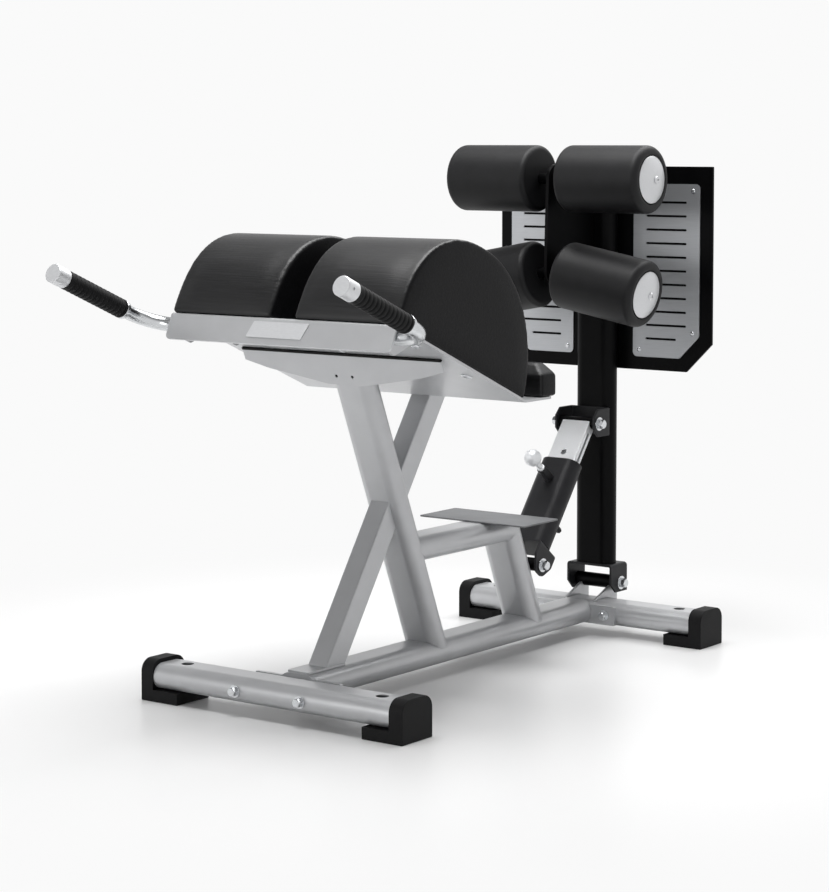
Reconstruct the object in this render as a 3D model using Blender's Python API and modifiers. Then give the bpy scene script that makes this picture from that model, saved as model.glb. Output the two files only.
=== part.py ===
# A glute ham developer: a floor frame with a sloped seat and two round-topped pads at the front,
# and at the rear a tilting mast with ankle rollers and a foot board, propped by a telescoping strut.
# Lengths are in metres and angles in degrees. Seen from the front, +X is to the right, +Y runs to
# the rear and +Z is up. While the pieces are made, Y = 0 is the front face of the front feet.
import math

import bmesh
import bpy
from mathutils import Matrix, Vector

# Gaps and mesh detail
clearance = 0.0003
weld_distance = 0.00001
round_steps = 20
bolt_steps = 12
degrees_per_step = 20
oval_side_steps = 12
bend_steps = 8
corner_steps = 6
pin_steps = 16
steep_share = 0.7
cut_reach = 0.216

# Flat-oval tube of the frame
tube_width = 0.108
tube_depth = 0.060
tube_wall = 0.003

# Rubber feet
foot_length = 0.112
foot_depth = 0.112
foot_sole = 0.0277
foot_cap_thickness = 0.0367
foot_cap_height = 0.0975
foot_corner_radius = 0.030
foot_edge = 0.003

# Floor beams
beam_length = 0.690
anchor_hole_offset = 0.286
anchor_hole_radius = 0.015
beam_bolt_offset = 0.095
end_plate_width = 0.250
end_plate_height = 0.050
end_plate_thickness = 0.010

# Spine
spine_length = 1.1508
spine_rise = 0.004

# Legs
frame_lean = 22.6
leg_a_foot = 0.6041
saddle_drop = 0.018
leg_b_foot = 0.2150
leg_b_width = 0.056
leg_b_depth = 0.060
leg_b_edge = 0.003
base_plate_width = 0.062
base_plate_thickness = 0.005
base_plate_front = 0.112
leg_b_flange_share = 0.62
rear_leg_foot = 1.0236
cross_tube_height = 0.326

# Step plate
step_width = 0.320
step_depth = 0.156
step_thickness = 0.004
step_rear_overhang = 0.0063
step_corner_radius = 0.006

# Seat plate
seat_y = 0.3488
seat_z = 0.7896
seat_slope = 22.6
sheet_thickness = 0.006
seat_half_width = 0.3275
seat_front = 0.3175
front_flange_height = 0.066
front_flange_corner = 0.012
bend_radius = 0.003
rear_flange_drop = 0.0860
rear_flange_depth = 0.107

# Ribs behind the front flange that hold the handles
rib_inner = 0.1575
rib_outer = 0.2964
rib_thickness = 0.006
rib_drop = 0.057
rib_tip = 0.264
rib_rear = 0.200

# Badge plate
badge_width = 0.160
badge_height = 0.038
badge_skew = 0.015
badge_thickness = 0.0015
badge_top = 0.012
badge_corner_radius = 0.003

# Gusset under the seat plate
gusset_half_width = 0.292
gusset_thickness = 0.006
gusset_gap = 0.0025
gusset_end_height = 0.0265
gusset_wing_half_width = 0.224
gusset_wing_height = 0.0455
gusset_waist_half_width = 0.054
gusset_height = 0.0765
gusset_bolt_drop = 0.0545
gusset_bolt_offset = 0.0233
gusset_bolt_radius = 0.004

# Pads
pad_half_length = 0.271
pad_height = 0.275
pad_centre = -0.050
pad_inner = 0.032
pad_outer = 0.331
pad_front_exponent = 2.4
pad_rear_exponent = 2.0
pad_edge = 0.005
pad_outline_steps = 32
knee_pad_overhang = 0.0035
knee_pad_depth = 0.066
knee_pad_offset = 0.021
knee_pad_side_height = 0.0527
knee_pad_height = 0.0827
knee_pad_end_chamfer = 0.026
knee_pad_side_chamfer = 0.017

# Handles
handle_radius = 0.017
handle_wall = 0.0025
handle_spread = 0.412
handle_bend = 0.078
handle_inner_end = 0.148
handle_gap = 0.0012
grip_radius = 0.0225
grip_start = 0.395
grip_end = 0.596
collar_radius = 0.0225
collar_end = 0.636
collar_bore_depth = 0.028

# Mast hinge
hinge_behind_beam = 0.058
hinge_above_beam = 0.038
hinge_sleeve_radius = 0.0185
hinge_half_width = 0.070
hinge_bracket_top = 0.052
hinge_bracket_skirt = 0.024
hinge_bracket_sheet = 0.006
hinge_bracket_depth = 0.080
hinge_bracket_lead = 0.048
lug_offset = 0.045
lug_thickness = 0.008
lug_front = 0.095
lug_rear = 0.016
cradle_start = 200
cradle_turn = 110
pivot_bolt_radius = 0.006

# Mast
mast_width = 0.114
mast_depth = 0.060
mast_wall = 0.003
mast_cap_thickness = 0.004
mast_top = 1.245
mast_lead = 0.012

# Strut
strut_top_z = 0.562
strut_top_lead = 0.059
strut_bottom_z = 0.222
strut_bottom_standoff = 0.0249
strut_bracket_half_width = 0.062
strut_bracket_sheet = 0.006
strut_bracket_low = 0.035
strut_bracket_high = 0.038
strut_bracket_nose = 0.022
strut_bracket_clip = 0.020
top_sleeve_radius = 0.015
top_sleeve_half_length = 0.055
open_pivot_clearance = 0.002
bottom_sleeve_radius = 0.017
bottom_sleeve_half_length = 0.0537
bottom_saddle_height = 0.020
bottom_saddle_half_width = 0.024
inner_width = 0.086
inner_depth = 0.030
inner_start = 0.105
inner_edge = 0.002
inner_wall = 0.004
inner_fit = 0.0004
inner_hole_radius = 0.008
inner_hole_pitch = 0.030
inner_holes_up = 3
inner_holes_down = 2
inner_slot_width = 0.009
inner_slot_start = 0.290
inner_slot_end = 0.400
outer_width = 0.114
outer_depth = 0.060
outer_end = 0.302
fork_half_width = 0.060
fork_sheet = 0.006
fork_web = 0.051
fork_half_depth = 0.042
fork_shoulder = 0.012
fork_nose = 0.026
fork_nose_half_width = 0.018
pin_along = 0.2387
pin_boss_radius = 0.0125
pin_boss_end = 0.078
pin_radius = 0.007
pin_tip_gap = 0.0008
pin_neck_radius = 0.008
pin_knob_radius = 0.0225
pin_knob_centre = 0.129
clamp_screw_along = 0.125
clamp_screw_radius = 0.008
clamp_screw_inset = 0.018
clamp_screw_height = 0.013

# Roller plate, axles and rollers
roller_plate_thickness = 0.010
roller_plate_radius = 0.0375
upper_axle_drop = 0.036
upper_axle_lead = 0.178
lower_axle_drop = 0.276
lower_axle_lead = 0.186
lower_axle_droop = 10.4
axle_radius = 0.0145
axle_recess = 0.0005
roller_radius = 0.087
roller_inner_shoulder = 0.014
roller_shoulder_length = 0.018
roller_shoulder_depth = 0.019
upper_roller_inner = 0.044
upper_roller_outer = 0.2935
lower_roller_inner = 0.040
lower_roller_outer = 0.2885
roller_steps = 24
shoulder_steps = 5
roller_cap_radius = 0.0608
roller_cap_gap = 0.0008
roller_cap_recess = 0.009
roller_cap_rim_height = 0.0085
roller_cap_rise = 0.0125
crown_steps = 4
roller_hub_radius = 0.0095
roller_hub_height = 0.0045

# Foot board and tread panels
board_half_width = 0.332
board_top_drop = 0.005
board_height = 0.5395
board_thickness = 0.008
board_chamfer_x = 0.076
board_chamfer_z = 0.0755
tread_inner = 0.0945
tread_outer = 0.296
tread_top_drop = 0.051
tread_height = 0.4585
tread_thickness = 0.003
tread_corner_radius = 0.013
tread_chamfer = 0.059
slot_inner = 0.1335
slot_outer = 0.2566
slot_height = 0.006
slot_end_radius = 0.0025
slot_first_drop = 0.0483
slot_pitch = 0.0361
slot_count = 11
slot_short_cut = 0.030

# Bolt heads, nuts and washers
washer_thickness = 0.003
beam_bolt_washer = 0.0145
beam_bolt_head = 0.011
beam_bolt_head_height = 0.013
pivot_washer = 0.018
pivot_head = 0.0125
pivot_head_height = 0.015

# Places worked out from the sizes above, as (Y, Z) points where they are pairs
cos_lean = math.cos(math.radians(frame_lean))
sin_lean = math.sin(math.radians(frame_lean))
tan_lean = sin_lean / cos_lean
cos_slope = math.cos(math.radians(seat_slope))
sin_slope = math.sin(math.radians(seat_slope))
beam_z = foot_sole + clearance + tube_depth / 2
beam_top = beam_z + tube_depth / 2
front_beam_y = foot_depth / 2
spine_start = front_beam_y + tube_width / 2 + end_plate_thickness + 2 * clearance
spine_end = spine_start + spine_length
rear_beam_y = spine_end + 2 * clearance + end_plate_thickness + tube_width / 2
spine_z = beam_z + spine_rise
spine_top = spine_z + tube_depth / 2
rear_flange_z = seat_z - rear_flange_drop
fold_along = rear_flange_drop / sin_slope
fold_y = seat_y + fold_along * cos_slope
leg_b_head = fold_y + leg_b_flange_share * rear_flange_depth
handle_drop = sheet_thickness + handle_gap + handle_radius
handle_root = seat_front - sheet_thickness - handle_gap - handle_radius
hinge_y = rear_beam_y + hinge_behind_beam
hinge_z = beam_top + hinge_above_beam
mast_y = hinge_y - mast_lead
mast_front = mast_y - mast_depth / 2
mast_rear = mast_y + mast_depth / 2
mast_bottom = hinge_z + hinge_bracket_top + clearance
strut_top = Vector((mast_front - strut_top_lead, strut_top_z))
corner_y = rear_leg_foot - tan_lean * (cross_tube_height - spine_top)
rear_leg_back = rear_leg_foot - tan_lean * (strut_bottom_z - spine_top) + tube_depth / 2 / cos_lean
strut_bottom = Vector((rear_leg_back + strut_bottom_standoff / cos_lean, strut_bottom_z))
strut_run = strut_top - strut_bottom
strut_length = strut_run.length
strut_way = strut_run.normalized()
handle_tip_y = seat_y - collar_end * cos_slope - (handle_drop + collar_radius) * sin_slope
board_back = mast_rear + clearance + board_thickness
middle_y = (handle_tip_y + board_back) / 2

# Unit vectors of the sloped and leaning pieces
x_way = Vector((1, 0, 0))
y_way = Vector((0, 1, 0))
z_way = Vector((0, 0, 1))
seat_back_way = Vector((0, cos_slope, -sin_slope))
seat_up_way = Vector((0, sin_slope, cos_slope))
lean_way = Vector((0, -sin_lean, cos_lean))
strut_up_way = Vector((0, strut_way.x, strut_way.y))
strut_out_way = Vector((0, -strut_way.y, strut_way.x))
seat_origin = Vector((0, seat_y, seat_z))

# Finishes: colour as a web colour, metallic value and roughness
finishes = {
    "silver_paint": ("#b4b5b6", 0.6, 0.42),
    "black_paint": ("#17181a", 0.2, 0.35),
    "dark_plate": ("#4a4b4d", 0.5, 0.45),
    "rubber": ("#1b1b1c", 0.0, 0.75),
    "vinyl": ("#1d1d1f", 0.0, 0.5),
    "foam": ("#2a2a2c", 0.0, 0.65),
    "chrome": ("#d6d8da", 1.0, 0.18),
    "aluminium": ("#c3c5c7", 1.0, 0.35),
}


def clear_scene():
    for item in list(bpy.data.objects):
        bpy.data.objects.remove(item)


def new_collection(name):
    collection = bpy.data.collections.new(name)
    bpy.context.scene.collection.children.link(collection)
    return collection


def linear(channel):
    if channel <= 0.04045:
        return channel / 12.92
    return ((channel + 0.055) / 1.055) ** 2.4


def paint(solid, finish):
    # Gives a piece its own material in one of the named finishes
    web_colour, metallic, roughness = finishes[finish]
    channels = [linear(int(web_colour[i:i + 2], 16) / 255) for i in (1, 3, 5)]
    material = bpy.data.materials.new(solid.name)
    material.use_nodes = True
    shader = material.node_tree.nodes["Principled BSDF"]
    shader.inputs["Base Color"].default_value = (*channels, 1)
    shader.inputs["Metallic"].default_value = metallic
    shader.inputs["Roughness"].default_value = roughness
    material.diffuse_color = (*channels, 1)
    solid.data.materials.clear()
    solid.data.materials.append(material)


def keep(solid, finish, parent):
    # Puts a finished piece in the parts collection, under the empty that it moves with
    parts.objects.link(solid)
    paint(solid, finish)
    solid.parent = parent
    solid.matrix_parent_inverse = parent.matrix_world.inverted()
    return solid


def keep_cutter(tool, target):
    cutters.objects.link(tool)
    tool.display_type = "WIRE"
    tool.hide_render = True
    tool.parent = target
    tool.matrix_parent_inverse = target.matrix_world.inverted()


def add_boolean(target, tool, operation):
    step = target.modifiers.new(operation.lower(), "BOOLEAN")
    step.operation = operation
    step.solver = "EXACT"
    step.object = tool
    keep_cutter(tool, target)


def subtract(target, tool):
    add_boolean(target, tool, "DIFFERENCE")


def unite(target, tool):
    add_boolean(target, tool, "UNION")


def soften(target, width, segments=2):
    step = target.modifiers.new("soft edges", "BEVEL")
    step.width = width
    step.segments = segments
    step.limit_method = "ANGLE"
    step.angle_limit = math.radians(40)


def frame_at(origin, x_axis, y_axis):
    # Matrix of a local frame whose X and Y axes are given
    z_axis = x_axis.cross(y_axis)
    matrix = Matrix((x_axis, y_axis, z_axis)).transposed().to_4x4()
    matrix.translation = origin
    return matrix


def frame_along(start, end):
    # Matrix of a frame midway between two points, its Z axis running from start to end
    run = (end - start).normalized()
    x_axis = y_way if abs(run.x) > steep_share else x_way
    y_axis = run.cross(x_axis).normalized()
    x_axis = y_axis.cross(run)
    return frame_at((start + end) / 2, x_axis, y_axis)


def side_point(x, pair):
    return Vector((x, pair[0], pair[1]))


def seat_point(x, along, up):
    return seat_origin + x * x_way + along * seat_back_way + up * seat_up_way


def strut_point(x, along, out):
    return side_point(x, strut_bottom) + along * strut_up_way + out * strut_out_way


def circle(radius, steps=round_steps, centre=(0, 0)):
    turns = [2 * math.pi * i / steps for i in range(steps)]
    return [(centre[0] + radius * math.cos(t), centre[1] + radius * math.sin(t)) for t in turns]


def bore_radius(shaft_radius, steps=round_steps):
    # Corner radius of a round hole whose flats clear the shaft
    return (shaft_radius + clearance) / math.cos(math.pi / steps)


def rounded(points, radii, step_angle=degrees_per_step):
    # A closed outline with each corner rounded to its own radius
    outline = []
    for i, corner in enumerate(points):
        radius = radii[i]
        corner = Vector(corner)
        if radius <= 0:
            outline.append(tuple(corner))
            continue
        to_last = (Vector(points[i - 1]) - corner).normalized()
        to_next = (Vector(points[(i + 1) % len(points)]) - corner).normalized()
        half_angle = to_last.angle(to_next) / 2
        centre = corner + (to_last + to_next).normalized() * radius / math.sin(half_angle)
        first = corner + to_last * radius / math.tan(half_angle) - centre
        turn = math.pi - 2 * half_angle
        if to_last.cross(to_next) > 0:
            turn = -turn
        steps = max(2, math.ceil(abs(math.degrees(turn)) / step_angle))
        for k in range(steps + 1):
            point = centre + Matrix.Rotation(turn * k / steps, 2) @ first
            outline.append(tuple(point))
    return outline


def rounded_rectangle(width, height, radius):
    half_w, half_h = width / 2, height / 2
    corners = [(half_w, half_h), (-half_w, half_h), (-half_w, -half_h), (half_w, -half_h)]
    return rounded(corners, [radius] * 4)


def flat_oval(extra=0.0, width=tube_width, depth=tube_depth):
    # Section of a flat-oval tube, its width along the first axis and its narrow sides half round
    half_depth = depth / 2 + extra
    half_flat = (width - depth) / 2
    outline = []
    for side in (1, -1):
        for k in range(oval_side_steps + 1):
            turn = math.radians(-90 + 180 * k / oval_side_steps)
            outline.append((side * (half_flat + half_depth * math.cos(turn)),
                            side * half_depth * math.sin(turn)))
    return outline


def hollow_tube():
    return [flat_oval(), flat_oval(-tube_wall)]


def bent_sheet(path, thickness, inner_radius):
    # Outline of a bent sheet that lies to the left of an open path along its outer face
    points = [Vector(p) for p in path]
    ways = [(b - a).normalized() for a, b in zip(points, points[1:])]
    lefts = [Vector((-w.y, w.x)) for w in ways]
    inner = [points[0] + lefts[0] * thickness]
    outer_radii, inner_radii = [0], [0]
    for i in range(1, len(points) - 1):
        half_turn = ways[i - 1].angle(ways[i]) / 2
        mitre = (lefts[i - 1] + lefts[i]).normalized() / math.cos(half_turn)
        inner.append(points[i] + mitre * thickness)
        left_turn = ways[i - 1].cross(ways[i]) > 0
        outer_radii.append(inner_radius + thickness if left_turn else inner_radius)
        inner_radii.append(inner_radius if left_turn else inner_radius + thickness)
    inner.append(points[-1] + lefts[-1] * thickness)
    outer_radii.append(0)
    inner_radii.append(0)
    loop = [tuple(p) for p in points + inner[::-1]]
    return rounded(loop, outer_radii + inner_radii[::-1])


def welded_mesh(guide):
    # Replaces a curve object by a mesh object of the same shape with its caps welded on
    name = guide.name
    place = guide.matrix_world.copy()
    bpy.context.scene.collection.objects.link(guide)
    bpy.context.view_layer.update()
    evaluated = guide.evaluated_get(bpy.context.evaluated_depsgraph_get())
    mesh = bpy.data.meshes.new_from_object(evaluated)
    bpy.data.objects.remove(guide)
    shape = bmesh.new()
    shape.from_mesh(mesh)
    bmesh.ops.remove_doubles(shape, verts=shape.verts, dist=weld_distance)
    bmesh.ops.recalc_face_normals(shape, faces=shape.faces)
    shape.to_mesh(mesh)
    shape.free()
    mesh.name = name
    solid = bpy.data.objects.new(name, mesh)
    solid.matrix_world = place
    return solid


def prism(name, loops, depth, place):
    # A flat outline, with any holes as further loops, made as thick as depth about its plane
    curve = bpy.data.curves.new(name, "CURVE")
    curve.dimensions = "2D"
    curve.fill_mode = "BOTH"
    curve.extrude = depth / 2
    for loop in loops:
        spline = curve.splines.new("POLY")
        spline.points.add(len(loop) - 1)
        for point, (x, y) in zip(spline.points, loop):
            point.co = (x, y, 0, 1)
        spline.use_cyclic_u = True
    guide = bpy.data.objects.new(name, curve)
    guide.matrix_world = place
    return welded_mesh(guide)


def rod(name, points, radius, bevel_resolution=6):
    # A round bar along a path, with flat ends
    curve = bpy.data.curves.new(name, "CURVE")
    curve.dimensions = "3D"
    curve.bevel_depth = radius
    curve.bevel_resolution = bevel_resolution
    curve.use_fill_caps = True
    spline = curve.splines.new("POLY")
    spline.points.add(len(points) - 1)
    for point, place in zip(spline.points, points):
        point.co = (*place, 1)
    guide = bpy.data.objects.new(name, curve)
    solid = welded_mesh(guide)
    solid.data.shade_smooth()
    solid.data.set_sharp_from_angle(angle=math.radians(40))
    return solid


def bar(name, loops, start, end):
    # An outline run from one point to another, its first axis along X or, for a bar along X, Y
    return prism(name, loops, (end - start).length, frame_along(start, end))


def cylinder(name, radius, start, end, steps=round_steps):
    mesh = bpy.data.meshes.new(name)
    shape = bmesh.new()
    bmesh.ops.create_cone(shape, cap_ends=True, segments=steps, radius1=radius, radius2=radius,
                          depth=(end - start).length)
    shape.to_mesh(mesh)
    shape.free()
    solid = bpy.data.objects.new(name, mesh)
    solid.matrix_world = frame_along(start, end)
    return solid


def block(name, size, place):
    mesh = bpy.data.meshes.new(name)
    shape = bmesh.new()
    bmesh.ops.create_cube(shape, size=1)
    bmesh.ops.scale(shape, vec=size, verts=shape.verts)
    shape.to_mesh(mesh)
    shape.free()
    solid = bpy.data.objects.new(name, mesh)
    solid.matrix_world = place
    return solid


def trim(target, point, outward):
    # Cuts away what lies beyond a plane
    size = 2 * cut_reach
    place = frame_at(point + outward * cut_reach, x_way, outward.cross(x_way))
    subtract(target, block(target.name + "_trim", (size, size, size), place))


def turned(name, profile, place, closed=False, steps=round_steps):
    # A turned piece: (radius, height) points from the top, down the outer side, about local Z
    mesh = bpy.data.meshes.new(name)
    shape = bmesh.new()
    corners = [shape.verts.new((radius, 0, height)) for radius, height in profile]
    for first, second in zip(corners, corners[1:]):
        shape.edges.new((first, second))
    if closed:
        shape.edges.new((corners[-1], corners[0]))
    shape.to_mesh(mesh)
    shape.free()
    solid = bpy.data.objects.new(name, mesh)
    solid.matrix_world = place
    screw = solid.modifiers.new("turn", "SCREW")
    screw.steps = steps
    screw.render_steps = steps
    screw.use_merge_vertices = True
    screw.merge_threshold = weld_distance
    return solid


def through_bolt(name, start, end, head, washer, head_height, nut_height):
    # A bolt through everything between start and end, with a washer, a head and a nut outside
    place = frame_along(start, end)
    half = (end - start).length / 2 + clearance
    top = half + washer_thickness
    shank = pivot_bolt_radius
    profile = [
        (0, top + nut_height), (head, top + nut_height), (head, top), (washer, top),
        (washer, half), (shank, half), (shank, -half), (washer, -half),
        (washer, -top), (head, -top), (head, -top - head_height), (0, -top - head_height)]
    return turned(name, profile, place, steps=bolt_steps)


def bolt_hole(target, start, end, radius=pivot_bolt_radius):
    subtract(target, cylinder(target.name + "_hole", bore_radius(radius), start, end))


def add_empty(name, place, parent=None):
    empty = bpy.data.objects.new(name, None)
    bpy.context.scene.collection.objects.link(empty)
    empty.matrix_world = place
    if parent:
        empty.parent = parent
        empty.matrix_parent_inverse = parent.matrix_world.inverted()
    bpy.context.view_layer.update()
    return empty


# Floor frame

def make_foot(name, side, centre_y):
    # A sole under the beam's end with a cap that stands beside it
    half_depth = foot_depth / 2
    outline = rounded(
        [(half_depth, 0), (half_depth, foot_cap_height), (-half_depth, foot_cap_height), (-half_depth, 0)],
        [0, foot_corner_radius, foot_corner_radius, 0])
    outer = beam_length / 2 + clearance + foot_cap_thickness
    middle = Vector((side * (outer - foot_length / 2), centre_y, 0))
    foot = prism(name, [outline], foot_length, frame_at(middle, y_way, z_way))
    reach = foot_cap_height
    seat = Vector((side * (beam_length / 2 + clearance - reach / 2), centre_y, foot_sole + reach / 2))
    soften(foot, foot_edge)
    subtract(foot, block(name + "_seat", (reach, 2 * foot_depth, reach), Matrix.Translation(seat)))
    keep(foot, "rubber", root)


def make_beam(name, centre_y):
    middle = Vector((0, centre_y, beam_z))
    half = Vector((beam_length / 2, 0, 0))
    beam = bar(name, hollow_tube(), middle - half, middle + half)
    for side in (1, -1):
        anchor = Vector((side * anchor_hole_offset, centre_y, 0))
        low = anchor + z_way * beam_z
        high = anchor + z_way * (beam_top + tube_wall)
        subtract(beam, cylinder(name + "_anchor", anchor_hole_radius, low, high))
        bolt = Vector((side * beam_bolt_offset, centre_y, beam_z))
        bolt_hole(beam, bolt - y_way * tube_width, bolt + y_way * tube_width)
    keep(beam, "silver_paint", root)


def make_end_plate(name, centre_y):
    # A bolting plate, raised in the middle to close the spine's end
    outline = rounded_rectangle(end_plate_width, end_plate_height, foot_edge)
    middle = Vector((0, centre_y, beam_z))
    plate = prism(name, [outline], end_plate_thickness, frame_at(middle, x_way, z_way))
    hump = frame_at(middle + z_way * spine_rise, x_way, z_way)
    unite(plate, prism(name + "_hump", [flat_oval()], end_plate_thickness, hump))
    for side in (1, -1):
        bolt = middle + x_way * side * beam_bolt_offset
        bolt_hole(plate, bolt - y_way * end_plate_thickness, bolt + y_way * end_plate_thickness)
    keep(plate, "silver_paint", root)


def make_beam_bolt(name, side, beam_y, inward):
    # The head is on the outer side of the beam and the nut behind the end plate
    start = Vector((side * beam_bolt_offset, beam_y - inward * tube_width / 2, beam_z))
    grip = tube_width + clearance + end_plate_thickness
    bolt = through_bolt(name, start, start + y_way * inward * grip, beam_bolt_head,
                        beam_bolt_washer, beam_bolt_head_height, beam_bolt_head_height)
    keep(bolt, "chrome", root)


def make_spine():
    spine = bar("spine", hollow_tube(), Vector((0, spine_start, spine_z)), Vector((0, spine_end, spine_z)))
    keep(spine, "silver_paint", root)


def saddle_on_spine(leg, foot_y):
    # Shapes the lower end of a leg to sit astride the spine
    trim(leg, Vector((0, foot_y, spine_top - saddle_drop)), -z_way)
    start = Vector((0, foot_y - tube_width, spine_z))
    end = Vector((0, foot_y + tube_width, spine_z))
    subtract(leg, bar(leg.name + "_saddle", [flat_oval(clearance)], start, end))


def leg_a_point(height):
    return Vector((0, leg_a_foot - tan_lean * (height - spine_top), height))


def make_leg_a():
    # The main leg, from the spine up to the underside of the seat plate
    leg = bar("leg_a", hollow_tube(), leg_a_point(spine_z), leg_a_point(seat_z + tube_width))
    saddle_on_spine(leg, leg_a_foot)
    trim(leg, seat_point(0, 0, -sheet_thickness - clearance), seat_up_way)
    keep(leg, "silver_paint", root)


def leg_b_ends():
    low = Vector((0, leg_b_foot, spine_top))
    high = Vector((0, leg_b_head, rear_flange_z - sheet_thickness))
    run = high - low
    along_a = lean_way
    # The point where the centre lines of the two legs cross
    offset = leg_a_point(spine_top) - low
    share = (offset.y * along_a.z - offset.z * along_a.y) / (run.y * along_a.z - run.z * along_a.y)
    return low, low + run * share, high


def notch_leg_a(piece, crossing):
    # Cuts the main leg's section out of a piece that meets it
    reach = lean_way * cut_reach
    notch = bar(piece.name + "_notch", [flat_oval(clearance)], crossing - reach, crossing + reach)
    subtract(piece, notch)


def make_leg_b():
    # The rising brace, cut in two by the main leg that it crosses
    low, crossing, high = leg_b_ends()
    way = (high - low).normalized()
    inside = 2 * tube_wall
    loops = [
        rounded_rectangle(leg_b_width, leg_b_depth, leg_b_edge),
        rounded_rectangle(leg_b_width - inside, leg_b_depth - inside, leg_b_edge / 2)]
    lower = bar("leg_b_lower", loops, low - way * leg_b_depth, crossing)
    trim(lower, Vector((0, leg_b_foot, spine_top + clearance)), -z_way)
    base_rear = leg_b_foot + leg_b_depth / 2 / way.z
    base_size = (base_plate_width, base_rear - base_plate_front, base_plate_thickness)
    base_height = spine_top + clearance + base_plate_thickness / 2
    base_middle = Vector((0, (base_plate_front + base_rear) / 2, base_height))
    unite(lower, block("leg_b_base", base_size, Matrix.Translation(base_middle)))
    upper = bar("leg_b_upper", loops, crossing, high + way * leg_b_depth)
    trim(upper, Vector((0, leg_b_head, rear_flange_z - sheet_thickness - clearance)), z_way)
    for piece in (lower, upper):
        notch_leg_a(piece, crossing)
        keep(piece, "silver_paint", root)


def make_cross_and_rear_leg():
    # A level tube from the main leg and the rear leg that carries its other end, mitred together
    corner = Vector((0, corner_y, cross_tube_height))
    to_front = -y_way
    to_floor = -lean_way
    mitre = (to_front - to_floor).normalized()
    start = leg_a_point(cross_tube_height)
    cross = bar("cross_tube", hollow_tube(), start, corner + y_way * tube_depth)
    notch_leg_a(cross, start)
    trim(cross, corner + mitre * clearance / 2, -mitre)
    keep(cross, "silver_paint", root)
    foot = Vector((0, rear_leg_foot, spine_top))
    leg = bar("rear_leg", hollow_tube(), foot + to_floor * tube_depth / 2, corner + lean_way * tube_depth)
    saddle_on_spine(leg, rear_leg_foot)
    trim(leg, corner - mitre * clearance / 2, mitre)
    keep(leg, "silver_paint", root)


def make_step_plate():
    # A standing plate on the level tube, its rear edge just past the mitre
    half_angle = half_corner_angle()
    outer_corner_y = corner_y + tube_depth / 2 / math.tan(half_angle)
    rear = outer_corner_y + step_rear_overhang
    height = cross_tube_height + tube_depth / 2 + clearance + step_thickness / 2
    middle = Vector((0, rear - step_depth / 2, height))
    outline = rounded_rectangle(step_width, step_depth, step_corner_radius)
    plate = prism("step_plate", [outline], step_thickness, frame_at(middle, x_way, y_way))
    keep(plate, "dark_plate", root)


def half_corner_angle():
    # Half of the inner angle between the level tube and the rear leg
    return math.radians(90 + frame_lean) / 2


# Seat

def make_seat_plate():
    # One folded sheet: front flange, sloped top and level rear flange
    path = [
        (fold_y + rear_flange_depth, rear_flange_z),
        (fold_y, rear_flange_z),
        seat_point(0, -seat_front, 0).yz,
        seat_point(0, -seat_front, -front_flange_height).yz,
    ]
    outline = bent_sheet(path, sheet_thickness, bend_radius)
    plate = prism("seat_plate", [outline], 2 * seat_half_width, frame_at(Vector(), y_way, z_way))
    half, height = seat_half_width, front_flange_height
    corners = [(half, height), (-half, height), (-half, -height), (half, -height)]
    face = rounded(corners, [0, 0, front_flange_corner, front_flange_corner])
    shape = prism("flange_shape", [face], 4 * seat_front, frame_at(seat_origin, x_way, seat_up_way))
    add_boolean(plate, shape, "INTERSECT")
    # The ribs' edges lie inside the sheet, so that they join it
    top = sheet_thickness / 2
    front = seat_front - top
    rib = [(-rib_rear, -top), (-front, -top), (-front, -rib_drop), (-rib_tip, -rib_drop)]
    for side in (1, -1):
        for offset in (rib_inner, rib_outer):
            place = frame_at(seat_point(side * offset, 0, 0), seat_back_way, seat_up_way)
            unite(plate, prism("rib", [rib], rib_thickness, place))
        inner = seat_point(side * handle_inner_end, -handle_root, -handle_drop)
        outer = seat_point(side * seat_half_width, -handle_root, -handle_drop)
        bolt_hole(plate, inner, outer, handle_radius)
    keep(plate, "silver_paint", root)


def make_badge():
    # A bare slanted plate on the front flange
    half = badge_width / 2
    lean = badge_skew / 2
    rise = badge_height / 2
    corners = [(half + lean, rise), (-half + lean, rise), (-half - lean, -rise), (half - lean, -rise)]
    outline = rounded(corners, [badge_corner_radius] * 4)
    middle = seat_point(0, -seat_front - clearance - badge_thickness / 2, -badge_top - rise)
    badge = prism("badge", [outline], badge_thickness, frame_at(middle, x_way, seat_up_way))
    keep(badge, "aluminium", root)


def make_gusset():
    # A bow-tie plate on the front face of the main leg, under the seat plate
    face_way = x_way.cross(lean_way)
    face = leg_a_point(spine_top) + face_way * (tube_depth / 2 + clearance)
    underside = seat_point(0, 0, -sheet_thickness - clearance)
    rise = (underside - face).dot(seat_up_way) / lean_way.dot(seat_up_way)
    top = face + lean_way * (rise - gusset_gap)
    half = [
        (gusset_half_width, 0), (gusset_half_width, -gusset_end_height),
        (gusset_wing_half_width, -gusset_wing_height), (gusset_waist_half_width, -gusset_height)]
    mirrored = [(-x, y) for x, y in reversed(half)]
    holes = []
    for side in (1, -1):
        holes.append(circle(gusset_bolt_radius, bolt_steps, (side * gusset_bolt_offset, -gusset_bolt_drop)))
    place = frame_at(top + face_way * gusset_thickness / 2, x_way, lean_way)
    gusset = prism("gusset", [half + mirrored] + holes, gusset_thickness, place)
    keep(gusset, "silver_paint", root)


def pad_outline():
    # A round-topped hump whose front side is fuller than its rear side
    outline = []
    for i in range(pad_outline_steps + 1):
        turn = math.pi * i / pad_outline_steps
        exponent = 2 / (pad_rear_exponent if turn <= math.pi / 2 else pad_front_exponent)
        along = math.copysign(abs(math.cos(turn)) ** exponent, math.cos(turn))
        up = math.sin(turn) ** exponent if 0 < i < pad_outline_steps else 0
        outline.append((pad_centre + pad_half_length * along, clearance + pad_height * up))
    return outline


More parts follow.
